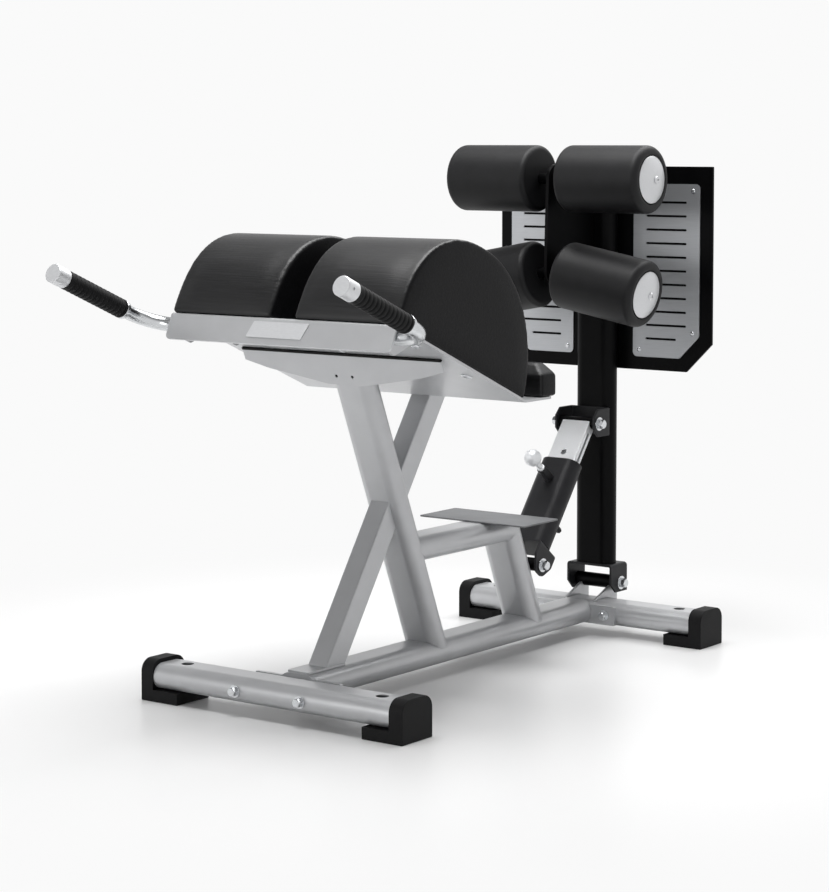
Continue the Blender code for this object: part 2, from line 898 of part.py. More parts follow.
def make_pad(name, side):
    middle = seat_point(side * (pad_inner + pad_outer) / 2, 0, 0)
    place = frame_at(middle, seat_back_way, seat_up_way)
    pad = prism(name, [pad_outline()], pad_outer - pad_inner, place)
    soften(pad, pad_edge)
    keep(pad, "vinyl", root)


def make_knee_pad():
    # A straight-sided cushion with a sloped border round its top
    mesh = bpy.data.meshes.new("knee_pad")
    shape = bmesh.new()
    bmesh.ops.create_cube(shape, size=1)
    bmesh.ops.translate(shape, vec=z_way / 2, verts=shape.verts)
    half_width = seat_half_width + knee_pad_overhang
    bmesh.ops.scale(shape, vec=(2 * half_width, knee_pad_depth, knee_pad_side_height), verts=shape.verts)
    lid = [face for face in shape.faces if face.normal.z > steep_share]
    raised = bmesh.ops.extrude_face_region(shape, geom=lid)
    bmesh.ops.delete(shape, geom=lid, context="FACES_ONLY")
    top = [item for item in raised["geom"] if isinstance(item, bmesh.types.BMVert)]
    bmesh.ops.translate(shape, vec=(0, 0, knee_pad_height - knee_pad_side_height), verts=top)
    shrink = (1 - knee_pad_end_chamfer / half_width, 1 - 2 * knee_pad_side_chamfer / knee_pad_depth, 1)
    bmesh.ops.scale(shape, vec=shrink, verts=top)
    shape.to_mesh(mesh)
    shape.free()
    pad = bpy.data.objects.new("knee_pad", mesh)
    rear = fold_y + rear_flange_depth + knee_pad_offset
    pad.matrix_world = Matrix.Translation((0, rear - knee_pad_depth / 2, rear_flange_z + clearance))
    soften(pad, pad_edge)
    keep(pad, "vinyl", root)


def make_handle(side_name, side):
    # A tube held by the ribs that bends forward past the flange, with a grip and an end collar
    bend_x = handle_spread - handle_bend
    path = [seat_point(side * handle_inner_end, -handle_root, -handle_drop)]
    for k in range(bend_steps + 1):
        turn = math.radians(90 * k / bend_steps)
        along = -handle_root - handle_bend * (1 - math.cos(turn))
        path.append(seat_point(side * (bend_x + handle_bend * math.sin(turn)), along, -handle_drop))
    path.append(seat_point(side * handle_spread, -grip_end - collar_bore_depth, -handle_drop))
    tube = rod("handle_" + side_name, path, handle_radius)
    overrun = [x_way * -side * handle_wall, seat_back_way * -handle_wall]
    hollow = [path[0] + overrun[0]] + path[1:-1] + [path[-1] + overrun[1]]
    subtract(tube, rod(tube.name + "_hollow", hollow, handle_radius - handle_wall))
    keep(tube, "chrome", root)
    bore = bore_radius(handle_radius)
    start = seat_point(side * handle_spread, -grip_start, -handle_drop)
    end = seat_point(side * handle_spread, -grip_end, -handle_drop)
    grip = bar("grip_" + side_name, [circle(grip_radius), circle(bore)], start, end)
    keep(grip, "rubber", root)
    collar_length = collar_end - grip_end - clearance
    base = seat_point(side * handle_spread, -grip_end - clearance, -handle_drop)
    profile = [
        (0, collar_length), (collar_radius, collar_length), (collar_radius, 0),
        (bore, 0), (bore, collar_bore_depth), (0, collar_bore_depth)]
    place = frame_at(base, x_way, seat_up_way)
    keep(turned("collar_" + side_name, profile, place), "aluminium", root)


# Mast and its hinge

def make_lug(name, side):
    # A cradle plate from the rear beam up to the hinge sleeve
    sleeve = hinge_sleeve_radius + clearance
    cradle = []
    for k in range(bend_steps + 1):
        turn = math.radians(cradle_start + cradle_turn * k / bend_steps)
        cradle.append((hinge_y + sleeve * math.cos(turn), hinge_z + sleeve * math.sin(turn)))
    low = beam_z
    rear = hinge_y + lug_rear
    outline = [(hinge_y - lug_front, low)] + [(hinge_y - lug_front, beam_top)] + cradle
    outline += [(rear, cradle[-1][1]), (rear, low)]
    place = frame_at(Vector((side * lug_offset, 0, 0)), y_way, z_way)
    lug = prism(name, [outline], lug_thickness, place)
    middle = Vector((side * lug_offset, rear_beam_y, beam_z))
    reach = x_way * 2 * lug_thickness
    beam_tool = bar(name + "_seat", [flat_oval(clearance)], middle - reach, middle + reach)
    subtract(lug, beam_tool)
    keep(lug, "aluminium", root)


def make_hinge_sleeve():
    middle = Vector((0, hinge_y, hinge_z))
    half = x_way * (hinge_half_width - hinge_bracket_sheet - 2 * clearance)
    loops = [circle(hinge_sleeve_radius), circle(bore_radius(pivot_bolt_radius))]
    keep(bar("hinge_sleeve", loops, middle - half, middle + half), "black_paint", root)


def make_hinge_bracket():
    # An inverted U under the mast whose cheeks reach down past the hinge bolt
    top = hinge_z + hinge_bracket_top
    bottom = hinge_z - hinge_bracket_skirt
    half = hinge_half_width
    path = [(half, bottom), (half, top), (-half, top), (-half, bottom)]
    outline = bent_sheet(path, hinge_bracket_sheet, bend_radius)
    front = hinge_y - hinge_bracket_lead
    middle = Vector((0, front + hinge_bracket_depth / 2, 0))
    bracket = prism("hinge_bracket", [outline], hinge_bracket_depth, frame_at(middle, x_way, z_way))
    clip = Vector((0, front, hinge_z))
    trim(bracket, clip, Vector((0, -1, -1)).normalized())
    reach = x_way * 2 * hinge_half_width
    middle = Vector((0, hinge_y, hinge_z))
    bolt_hole(bracket, middle - reach, middle + reach)
    keep(bracket, "black_paint", mast_axis)


def make_pivot_bolt(name, centre, half_width, parent):
    half = x_way * half_width
    bolt = through_bolt(name, centre - half, centre + half, pivot_head, pivot_washer,
                        pivot_head_height, pivot_head_height)
    keep(bolt, "chrome", parent)


def make_mast():
    outline = flat_oval(0, mast_width, mast_depth)
    start = Vector((0, mast_y, mast_bottom))
    mast = bar("mast", [outline], start, Vector((0, mast_y, mast_top)))
    hollow = flat_oval(-mast_wall, mast_width, mast_depth)
    end = Vector((0, mast_y, mast_top - mast_cap_thickness))
    subtract(mast, bar("mast_hollow", [hollow], start - z_way * mast_wall, end))
    keep(mast, "black_paint", mast_axis)


def make_strut_bracket():
    # A U on the mast's front face that opens forward, its front corners clipped
    front = strut_top.x - strut_bracket_nose
    back = mast_front - clearance
    half = strut_bracket_half_width
    path = [(half, front), (half, back), (-half, back), (-half, front)]
    outline = bent_sheet(path, strut_bracket_sheet, bend_radius)
    low = strut_top_z - strut_bracket_low
    high = strut_top_z + strut_bracket_high
    place = frame_at(Vector((0, 0, (low + high) / 2)), x_way, y_way)
    bracket = prism("strut_bracket", [outline], high - low, place)
    for height, way in ((low, -1), (high, 1)):
        clip = Vector((0, front + strut_bracket_clip, height))
        trim(bracket, clip, Vector((0, -1, way)).normalized())
    centre = side_point(0, strut_top)
    bolt_hole(bracket, centre - x_way * 2 * half, centre + x_way * 2 * half)
    keep(bracket, "black_paint", mast_axis)


def make_foot_board():
    top = mast_top - board_top_drop
    bottom = top - board_height
    half = board_half_width
    outline = [
        (half, top), (-half, top), (-half, bottom + board_chamfer_z), (-half + board_chamfer_x, bottom),
        (half - board_chamfer_x, bottom), (half, bottom + board_chamfer_z)]
    middle = Vector((0, mast_rear + clearance + board_thickness / 2, 0))
    board = prism("foot_board", [outline], board_thickness, frame_at(middle, x_way, z_way))
    keep(board, "black_paint", mast_axis)


def make_tread(name, side):
    # A panel with a column of thin slots, its lower outer corner cut off
    top = mast_top - tread_top_drop
    bottom = top - tread_height
    corners = [
        (tread_outer, top), (tread_inner, top), (tread_inner, bottom),
        (tread_outer - tread_chamfer, bottom), (tread_outer, bottom + tread_chamfer)]
    loops = [rounded(corners, [tread_corner_radius] * len(corners))]
    for row in range(slot_count):
        height = top - slot_first_drop - row * slot_pitch
        end = slot_outer - (slot_short_cut if row == slot_count - 1 else 0)
        low, high = height - slot_height / 2, height + slot_height / 2
        slot = [(end, high), (slot_inner, high), (slot_inner, low), (end, low)]
        loops.append(rounded(slot, [slot_end_radius] * 4, step_angle=45))
    loops = [[(side * x, z) for x, z in loop] for loop in loops]
    middle = Vector((0, mast_rear - tread_thickness / 2, 0))
    tread = prism(name, loops, tread_thickness, frame_at(middle, x_way, z_way))
    keep(tread, "aluminium", mast_axis)


# Ankle rollers

def upper_axle_centre():
    return Vector((0, mast_front - upper_axle_lead, mast_top - upper_axle_drop))


def lower_axle_centre():
    return Vector((0, mast_front - lower_axle_lead, mast_top - lower_axle_drop))


def lower_axle_way(side):
    droop = math.radians(lower_axle_droop)
    return Vector((side * math.cos(droop), 0, -math.sin(droop)))


def make_roller_plate():
    # An upright plate from the mast to both axles, its front corners round about them
    upper, lower = upper_axle_centre(), lower_axle_centre()
    radius = roller_plate_radius
    run = upper.yz - lower.yz
    lean = math.atan2(run.x, run.y)
    outline = [(mast_front - clearance, lower.z - radius)]
    outline.append((mast_front - clearance, upper.z + radius))
    spans = ((upper, math.pi / 2, math.pi - lean), (lower, math.pi - lean, 3 * math.pi / 2))
    for centre, first, last in spans:
        for k in range(corner_steps + 1):
            turn = first + (last - first) * k / corner_steps
            outline.append((centre.y + radius * math.cos(turn), centre.z + radius * math.sin(turn)))
    plate = prism("roller_plate", [outline], roller_plate_thickness, frame_at(Vector(), y_way, z_way))
    reach = x_way * roller_plate_thickness
    subtract(plate, cylinder("upper_axle_hole", bore_radius(axle_radius), upper - reach, upper + reach))
    sag = roller_plate_thickness / 2 * math.tan(math.radians(lower_axle_droop))
    hole = bore_radius(axle_radius / math.cos(math.radians(lower_axle_droop)) + sag)
    subtract(plate, cylinder("lower_axle_hole", hole, lower - reach, lower + reach))
    keep(plate, "black_paint", mast_axis)


def make_axles():
    upper, lower = upper_axle_centre(), lower_axle_centre()
    short = roller_cap_recess + axle_recess
    reach = x_way * (upper_roller_outer - short)
    keep(rod("upper_axle", [upper - reach, upper + reach], axle_radius), "black_paint", mast_axis)
    length = lower_roller_outer - short
    path = [lower + lower_axle_way(-1) * length, lower, lower + lower_axle_way(1) * length]
    keep(rod("lower_axle", path, axle_radius), "black_paint", mast_axis)


def roller_profile(inner, outer):
    # Foam tube as a closed loop from its bore's outer end: a recess for the cap, a round lip, a
    # full outer shoulder and a plain inner one
    bore = bore_radius(axle_radius, roller_steps)
    recess = roller_cap_radius + roller_cap_gap
    crest = roller_radius - roller_shoulder_depth
    lip = crest - recess
    profile = [(bore, outer - roller_cap_recess), (recess, outer - roller_cap_recess), (recess, outer - lip)]
    for k in range(1, shoulder_steps):
        turn = math.pi / 2 * k / shoulder_steps
        profile.append((crest - lip * math.cos(turn), outer - lip * (1 - math.sin(turn))))
    for k in range(shoulder_steps + 1):
        turn = math.pi / 2 * k / shoulder_steps
        profile.append((crest + roller_shoulder_depth * math.sin(turn),
                        outer - roller_shoulder_length * (1 - math.cos(turn))))
    section = [(roller_radius, outer), (roller_radius, inner), (bore, inner), (bore, outer)]
    return profile + rounded(section, [0, roller_inner_shoulder, 0, 0])[1:-1]


def cap_profile(outer):
    # A domed disc with a bolt head in its middle, sunk into the roller's end
    base = outer - roller_cap_recess + clearance
    rim = base + roller_cap_rim_height
    crown = rim + roller_cap_rise
    profile = [(0, crown + roller_hub_height), (roller_hub_radius, crown + roller_hub_height)]
    for k in range(crown_steps + 1):
        share = k / crown_steps
        radius = roller_hub_radius + share * (roller_cap_radius - roller_hub_radius)
        profile.append((radius, crown - roller_cap_rise * share ** 2))
    return profile + [(roller_cap_radius, base), (0, base)]


def make_roller(label, centre, way, inner, outer):
    # The roller's origin is on its axle, and its cap turns with it
    place = frame_at(centre, y_way, way.cross(y_way))
    roller = turned("roller_" + label, roller_profile(inner, outer), place, closed=True, steps=roller_steps)
    keep(roller, "foam", mast_axis)
    cap = turned("roller_cap_" + label, cap_profile(outer), place)
    keep(cap, "aluminium", mast_axis)


# Strut

def make_bottom_sleeve():
    # The strut's lower bearing on the back of the rear leg
    centre = side_point(0, strut_bottom)
    half = x_way * bottom_sleeve_half_length
    sleeve = cylinder("pivot_sleeve", bottom_sleeve_radius, centre - half, centre + half)
    leg_back_way = Vector((0, cos_lean, sin_lean))
    length = strut_bottom_standoff - clearance
    size = (2 * bottom_saddle_half_width, length, bottom_saddle_height)
    place = frame_at(centre - leg_back_way * length / 2, x_way, leg_back_way)
    unite(sleeve, block("pivot_saddle", size, place))
    bolt_hole(sleeve, centre - half * 2, centre + half * 2)
    keep(sleeve, "black_paint", root)


def make_fork():
    # A U below the outer tube whose cheeks narrow to a round nose at the lower pivot
    path = [(fork_half_width, -fork_nose), (fork_half_width, fork_web), (-fork_half_width, fork_web),
            (-fork_half_width, -fork_nose)]
    outline = bent_sheet(path, fork_sheet, bend_radius)
    place = frame_at(strut_point(0, 0, 0), x_way, strut_up_way)
    fork = prism("strut_fork", [outline], 2 * fork_half_depth, place)
    side = [(fork_half_depth, fork_web + fork_sheet), (fork_half_depth, fork_shoulder),
            (fork_nose_half_width, -fork_nose), (-fork_nose_half_width, -fork_nose),
            (-fork_half_depth, fork_shoulder), (-fork_half_depth, fork_web + fork_sheet)]
    radii = [0, fork_shoulder, fork_nose_half_width, fork_nose_half_width, fork_shoulder, 0]
    side_place = frame_at(strut_point(0, 0, 0), -strut_out_way, strut_up_way)
    profile = prism("fork_side", [rounded(side, radii)], 4 * fork_half_width, side_place)
    add_boolean(fork, profile, "INTERSECT")
    reach = x_way * 2 * fork_half_width
    bolt_hole(fork, strut_point(0, 0, 0) - reach, strut_point(0, 0, 0) + reach)
    keep(fork, "black_paint", strut_axis)


def make_outer_tube():
    # The black outer tube with the boss of the pull pin and a clamp screw at its back
    loops = [
        flat_oval(0, outer_width, outer_depth),
        rounded_rectangle(inner_width + 2 * inner_fit, inner_depth + 2 * inner_fit, inner_edge)]
    start = strut_point(0, fork_web + clearance, 0)
    tube = bar("strut_outer", loops, start, strut_point(0, outer_end, 0))
    wall_middle = (inner_depth + outer_depth) / 4
    boss = cylinder("pin_boss", pin_boss_radius, strut_point(0, pin_along, wall_middle),
                    strut_point(0, pin_along, pin_boss_end))
    unite(tube, boss)
    screw_x = outer_width / 2 - clamp_screw_inset
    seat = strut_point(screw_x, clamp_screw_along, -wall_middle)
    tip = strut_point(screw_x, clamp_screw_along, -outer_depth / 2 - clamp_screw_height)
    unite(tube, cylinder("clamp_screw", clamp_screw_radius, seat, tip, bolt_steps))
    bore = cylinder("pin_bore", bore_radius(pin_radius), strut_point(0, pin_along, 0),
                    strut_point(0, pin_along, 2 * pin_boss_end))
    subtract(tube, bore)
    keep(tube, "black_paint", strut_axis)


def make_inner_tube():
    # The plated inner bar with a row of pin holes and a slot along each narrow side
    inside = 2 * inner_wall
    loops = [
        rounded_rectangle(inner_width, inner_depth, inner_edge),
        rounded_rectangle(inner_width - inside, inner_depth - inside, inner_edge / 2)]
    tube = bar("strut_inner", loops, strut_point(0, inner_start, 0), strut_point(0, strut_length, 0))
    reach = inner_depth
    for k in range(-inner_holes_down, inner_holes_up + 1):
        along = pin_along + k * inner_hole_pitch
        front, back = strut_point(0, along, -reach), strut_point(0, along, reach)
        subtract(tube, cylinder("pin_hole", inner_hole_radius, front, back, bolt_steps))
    for side in (1, -1):
        slot_middle = strut_point(side * inner_width / 2, (inner_slot_start + inner_slot_end) / 2, 0)
        size = (4 * inner_wall, inner_slot_width, inner_slot_end - inner_slot_start)
        place = frame_at(slot_middle, x_way, strut_up_way.cross(x_way))
        subtract(tube, block("side_slot", size, place))
    head = x_way * inner_width
    centre = strut_point(0, strut_length, 0)
    subtract(tube, cylinder("sleeve_seat", top_sleeve_radius + clearance, centre - head, centre + head))
    keep(tube, "chrome", slide_axis)


def make_top_sleeve():
    # The strut's upper bearing, with room for the bolt that closes the linkage
    centre = strut_point(0, strut_length, 0)
    half = x_way * top_sleeve_half_length
    loops = [circle(top_sleeve_radius), circle(bore_radius(pivot_bolt_radius + open_pivot_clearance))]
    keep(bar("top_sleeve", loops, centre - half, centre + half), "black_paint", slide_axis)


def make_pull_pin():
    # A spring pin with a neck and a ball, standing out of the boss
    neck_base = pin_boss_end + clearance
    tip = inner_depth / 2 + inner_fit + pin_tip_gap
    ball = []
    neck_turn = math.asin(pin_neck_radius / pin_knob_radius)
    for k in range(bend_steps + 1):
        turn = (math.pi - neck_turn) * k / bend_steps
        ball.append((pin_knob_radius * math.sin(turn), pin_knob_centre + pin_knob_radius * math.cos(turn)))
    profile = ball + [(pin_neck_radius, neck_base), (pin_radius, neck_base), (pin_radius, tip), (0, tip)]
    place = frame_at(strut_point(0, pin_along, 0), x_way, strut_out_way.cross(x_way))
    keep(turned("pull_pin", profile, place, steps=pin_steps), "chrome", pin_axis)


clear_scene()
parts = new_collection("glute_ham_developer")
cutters = new_collection("cutters")

root = add_empty("floor_frame", Matrix())
mast_axis = add_empty("mast_axis", Matrix.Translation((0, hinge_y, hinge_z)), root)
strut_axis = add_empty("strut_axis", frame_at(strut_point(0, 0, 0), x_way, strut_up_way.cross(x_way)), root)
slide_axis = add_empty("slide_axis", strut_axis.matrix_world.copy(), strut_axis)
pin_place = frame_at(strut_point(0, pin_along, 0), x_way, strut_out_way.cross(x_way))
pin_axis = add_empty("pin_axis", pin_place, strut_axis)

sides = (("right", 1), ("left", -1))
for side_name, side in sides:
    make_foot("front_foot_" + side_name, side, front_beam_y)
    make_foot("rear_foot_" + side_name, side, rear_beam_y)
    make_beam_bolt("front_bolt_" + side_name, side, front_beam_y, 1)
    make_beam_bolt("rear_bolt_" + side_name, side, rear_beam_y, -1)
    make_pad("pad_" + side_name, side)
    make_handle(side_name, side)
    make_lug("hinge_lug_" + side_name, side)
    make_tread("tread_" + side_name, side)
    make_roller("upper_" + side_name, upper_axle_centre(), Vector((side, 0, 0)),
                upper_roller_inner, upper_roller_outer)
    make_roller("lower_" + side_name, lower_axle_centre(), lower_axle_way(side),
                lower_roller_inner, lower_roller_outer)
make_beam("front_beam", front_beam_y)
make_beam("rear_beam", rear_beam_y)
make_end_plate("front_end_plate", spine_start - clearance - end_plate_thickness / 2)
make_end_plate("rear_end_plate", spine_end + clearance + end_plate_thickness / 2)
make_spine()
make_leg_a()
make_leg_b()
make_cross_and_rear_leg()
make_step_plate()
make_seat_plate()
make_badge()
make_gusset()
make_knee_pad()
make_hinge_sleeve()
make_hinge_bracket()
make_pivot_bolt("hinge_bolt", Vector((0, hinge_y, hinge_z)), hinge_half_width, mast_axis)
make_mast()
make_strut_bracket()
make_pivot_bolt("strut_top_bolt", side_point(0, strut_top), strut_bracket_half_width, mast_axis)
make_foot_board()
make_roller_plate()
make_axles()
make_bottom_sleeve()
make_fork()
make_pivot_bolt("strut_bottom_bolt", side_point(0, strut_bottom), fork_half_width, strut_axis)
make_outer_tube()
make_inner_tube()
make_top_sleeve()
make_pull_pin()

# The origin of the finished model is on the floor, midway between its front and rear ends
root.location.y = -middle_y
bpy.context.view_layer.update()
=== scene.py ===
import math

import bmesh
import bpy
from mathutils import Matrix, Vector


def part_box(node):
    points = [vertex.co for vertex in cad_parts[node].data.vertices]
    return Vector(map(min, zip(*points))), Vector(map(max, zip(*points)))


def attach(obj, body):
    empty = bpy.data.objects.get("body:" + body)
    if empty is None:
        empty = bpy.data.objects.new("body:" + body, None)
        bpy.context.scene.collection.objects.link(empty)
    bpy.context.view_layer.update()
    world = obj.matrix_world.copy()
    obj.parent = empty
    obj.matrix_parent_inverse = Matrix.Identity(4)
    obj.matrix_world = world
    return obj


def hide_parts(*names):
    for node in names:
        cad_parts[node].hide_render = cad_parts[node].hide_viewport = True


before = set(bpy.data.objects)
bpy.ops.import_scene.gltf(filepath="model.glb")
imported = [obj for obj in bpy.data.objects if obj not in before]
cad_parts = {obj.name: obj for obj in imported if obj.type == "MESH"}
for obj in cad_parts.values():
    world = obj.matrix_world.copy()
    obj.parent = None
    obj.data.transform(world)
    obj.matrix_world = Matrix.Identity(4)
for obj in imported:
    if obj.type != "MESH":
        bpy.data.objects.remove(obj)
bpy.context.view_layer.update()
print("CAD frame loaded")

# Lengths are in metres and angles in degrees. A piece is laid out with Y = 0 at the front face of
# the front feet, and slid into the CAD frame when it is kept.
slide = Matrix.Translation((0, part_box("front_foot_right")[0][1], 0))
xWay = Vector((1, 0, 0))
yWay = Vector((0, 1, 0))
zWay = Vector((0, 0, 1))
sides = (("right", 1), ("left", -1))
arcStep = 7.5
# Parts that touch in the real machine stand this far apart
clearance = 0.0003

# Main sizes that several pieces share
machine = {
    "tubeWidth": 0.108, "tubeDepth": 0.060, "tubeWall": 0.003, "soleHeight": 0.028,
    "beamLength": 0.690, "frontBeamY": 0.056, "rearBeamY": 1.3360,
    "spineY": 0.1206, "spineLength": 1.1508, "spineRise": 0.004,
    "lean": 22.6, "legFootY": 0.6041, "braceFootY": 0.2150, "rearLegFootY": 1.0236, "crossHeight": 0.326,
    "seatY": 0.3488, "seatZ": 0.7896, "seatSlope": 22.6, "sheet": 0.006,
    "rearFlangeDrop": 0.0860, "rearFlangeDepth": 0.107,
    "mastWidth": 0.114, "mastDepth": 0.060, "mastTop": 1.245, "strutBottomZ": 0.222, "strutTopZ": 0.562,
}


# Outlines

def arc(radius, first, last, steps, centre=(0, 0)):
    # Points round a centre from one angle to another, both ends included
    turns = [math.radians(first + (last - first) * k / steps) for k in range(steps + 1)]
    return [(centre[0] + radius * math.cos(t), centre[1] + radius * math.sin(t)) for t in turns]


def circleLoop(radius, steps=64):
    turns = [2 * math.pi * i / steps for i in range(steps)]
    return [(radius * math.cos(t), radius * math.sin(t)) for t in turns]


def hexLoop(acrossFlats, turn=0):
    return arc(acrossFlats / 2 / math.cos(math.pi / 6), turn, turn + 360, 6)[:-1]


def roundCorners(points, radii, stepAngle=arcStep):
    outline = []
    for i, corner in enumerate(points):
        corner = Vector(corner)
        radius = radii[i]
        if radius <= 0:
            outline.append(tuple(corner))
            continue
        toLast = (Vector(points[i - 1]) - corner).normalized()
        toNext = (Vector(points[(i + 1) % len(points)]) - corner).normalized()
        halfAngle = toLast.angle(toNext) / 2
        centre = corner + (toLast + toNext).normalized() * radius / math.sin(halfAngle)
        first = corner + toLast * radius / math.tan(halfAngle) - centre
        turn = math.pi - 2 * halfAngle
        if toLast.cross(toNext) > 0:
            turn = -turn
        steps = max(2, math.ceil(abs(math.degrees(turn)) / stepAngle))
        outline += [tuple(centre + Matrix.Rotation(turn * k / steps, 2) @ first) for k in range(steps + 1)]
    return outline


def boxLoop(width, height, radius, stepAngle=arcStep):
    w, h = width / 2, height / 2
    return roundCorners([(w, h), (-w, h), (-w, -h), (w, -h)], [radius] * 4, stepAngle)


def flatOvalLoop(extra=0.0, width=machine["tubeWidth"], depth=machine["tubeDepth"]):
    # Section of a flat-oval tube: flat front and back, half-round sides
    right = arc(depth / 2 + extra, -90, 90, 24, ((width - depth) / 2, 0))
    return right + [(-x, -y) for x, y in right]


# Solids

def placeAt(origin, xAxis, yAxis):
    zAxis = xAxis.cross(yAxis)
    matrix = Matrix((xAxis, yAxis, zAxis)).transposed().to_4x4()
    matrix.translation = origin
    return matrix


def placeAlong(start, end):
    # Local Z runs from start to end, and local X is the machine's X, or Y for a run along X
    run = (end - start).normalized()
    xAxis = yWay if abs(run.x) > 0.7 else xWay
    yAxis = run.cross(xAxis).normalized()
    return placeAt((start + end) / 2, yAxis.cross(run), yAxis)


def placeFacing(origin, way):
    # Local Z runs along a direction
    xAxis = way.orthogonal().normalized()
    return placeAt(origin, xAxis, way.cross(xAxis))


def linked(name, data):
    thing = bpy.data.objects.new(name, data)
    bpy.context.scene.collection.objects.link(thing)
    return thing


def meshPiece(name, shape, place=Matrix()):
    mesh = bpy.data.meshes.new(name)
    bmesh.ops.recalc_face_normals(shape, faces=shape.faces)
    shape.to_mesh(mesh)
    shape.free()
    piece = linked(name, mesh)
    piece.matrix_world = place
    return piece


def finalMesh(thing):
    # The mesh of a curve or piece with its modifiers applied
    bpy.context.view_layer.update()
    return bpy.data.meshes.new_from_object(thing.evaluated_get(bpy.context.evaluated_depsgraph_get()))


def simplified(mesh, distance, angle):
    # The shape of a mesh with its doubled points and its flat seams merged
    shape = bmesh.new()
    shape.from_mesh(mesh)
    bpy.data.meshes.remove(mesh)
    bmesh.ops.remove_doubles(shape, verts=shape.verts, dist=distance)
    bmesh.ops.dissolve_limit(shape, angle_limit=math.radians(angle), verts=shape.verts, edges=shape.edges)
    return shape


def prism(name, loops, depth, place):
    # A flat outline, with any holes as further loops, given a thickness about its plane
    curve = bpy.data.curves.new(name, "CURVE")
    curve.dimensions = "2D"
    curve.fill_mode = "BOTH"
    curve.extrude = depth / 2
    for loop in loops:
        spline = curve.splines.new("POLY")
        spline.points.add(len(loop) - 1)
        for point, (x, y) in zip(spline.points, loop):
            point.co = (x, y, 0, 1)
        spline.use_cyclic_u = True
    guide = linked(name, curve)
    mesh = finalMesh(guide)
    bpy.data.objects.remove(guide)
    bpy.data.curves.remove(curve)
    return meshPiece(name, simplified(mesh, 0.00001, 0.5), place)


def bar(name, loops, start, end):
    return prism(name, loops, (end - start).length, placeAlong(start, end))


def skin(shape, rings, closed=False):
    # Faces from each ring of points to the next. A ring of one repeated point makes a tip.
    steps = len(rings[0])
    for low, high in list(zip(rings, rings[1:])) + ([(rings[-1], rings[0])] if closed else []):
        for k in range(steps):
            corners = dict.fromkeys((low[k], low[(k + 1) % steps], high[(k + 1) % steps], high[k]))
            if len(corners) > 2:
                shape.faces.new(tuple(corners))


def rod(name, points, radius, steps=32):
    # A round bar swept along a path with flat ends
    shape = bmesh.new()
    rings = []
    xAxis = None
    for i, point in enumerate(points):
        way = (points[min(i + 1, len(points) - 1)] - points[max(i - 1, 0)]).normalized()
        if xAxis is None:
            xAxis = way.orthogonal().normalized()
        xAxis = (xAxis - way * xAxis.dot(way)).normalized()
        yAxis = way.cross(xAxis)
        rings.append([shape.verts.new(point + radius * (x * xAxis + y * yAxis))
                      for x, y in circleLoop(1, steps)])
    skin(shape, rings)
    shape.faces.new(rings[0][::-1])
    shape.faces.new(rings[-1])
    return meshPiece(name, shape)


def turned(name, profile, place, steps=64, closed=False):
    # A lathe shape from (radius, height) points about local Z
    shape = bmesh.new()
    rings = []
    for radius, height in profile:
        if radius < 0.000001:
            rings.append([shape.verts.new((0, 0, height))] * steps)
        else:
            rings.append([shape.verts.new((x, y, height)) for x, y in circleLoop(radius, steps)])
    skin(shape, rings, closed)
    return meshPiece(name, shape, place)


def block(name, size, place):
    shape = bmesh.new()
    bmesh.ops.create_cube(shape, size=1)
    bmesh.ops.scale(shape, vec=size, verts=shape.verts)
    return meshPiece(name, shape, place)


def bake(piece):
    # Applies the modifiers and the place of a piece to its mesh
    mesh = finalMesh(piece)
    mesh.transform(piece.matrix_world)
    piece.modifiers.clear()
    piece.data = mesh
    piece.matrix_world = Matrix()


def combine(piece, tool, operation="DIFFERENCE"):
    step = piece.modifiers.new("cut", "BOOLEAN")
    step.operation = operation
    step.solver = "EXACT"
    step.object = tool
    bake(piece)
    bpy.data.objects.remove(tool)


def cutBeyond(piece, point, outward):
    reach = 0.3
    place = placeAt(point + outward * reach, xWay, outward.cross(xWay))
    combine(piece, block("cut", (2 * reach, 2 * reach, 2 * reach), place))


def drill(piece, start, end, radius, steps=32):
    combine(piece, bar("drill", [circleLoop(radius, steps)], start, end))


def softenEdges(piece, width, segments=2, angle=35):
    step = piece.modifiers.new("edges", "BEVEL")
    step.width = width
    step.segments = segments
    step.limit_method = "ANGLE"
    step.angle_limit = math.radians(angle)


def joined(name, pieces):
    # One piece from several that are fixed together
    shape = bmesh.new()
    for piece in pieces:
        bake(piece)
        shape.from_mesh(piece.data)
        bpy.data.objects.remove(piece)
    mesh = bpy.data.meshes.new(name)
    shape.to_mesh(mesh)
    shape.free()
    return linked(name, mesh)


def keepPiece(piece, material, body, *nodes, slot=None, smoothAngle=35):
    bake(piece)
    piece.data.transform(slide)
    piece.data.materials.clear()
    piece.data.materials.append(material)
    piece.data.shade_smooth()
    piece.data.set_sharp_from_angle(angle=math.radians(smoothAngle))
    even = piece.modifiers.new("even shading", "WEIGHTED_NORMAL")
    even.keep_sharp = True
    even.weight = 80
    bake(piece)
    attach(piece, body)
    if nodes:
        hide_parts(*nodes)


def refined(node, material, body, edge):
    # A finer copy of a CAD node, with its edges broken as a folded or cut sheet's are
    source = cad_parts[node]
    shape = simplified(source.data.copy(), 0.00002, 1)
    piece = meshPiece("fine_" + node, shape, slide.inverted() @ source.matrix_world)
    if edge:
        softenEdges(piece, edge)
    keepPiece(piece, material, body, node)


# Finishes

def colourOf(code):
    channels = [int(code[i:i + 2], 16) / 255 for i in (1, 3, 5)]
    return (*[c / 12.92 if c <= 0.04045 else ((c + 0.055) / 1.055) ** 2.4 for c in channels], 1)


def perMetre(millimetres):
    # Texture scale whose features are this far apart
    return 1000 / millimetres


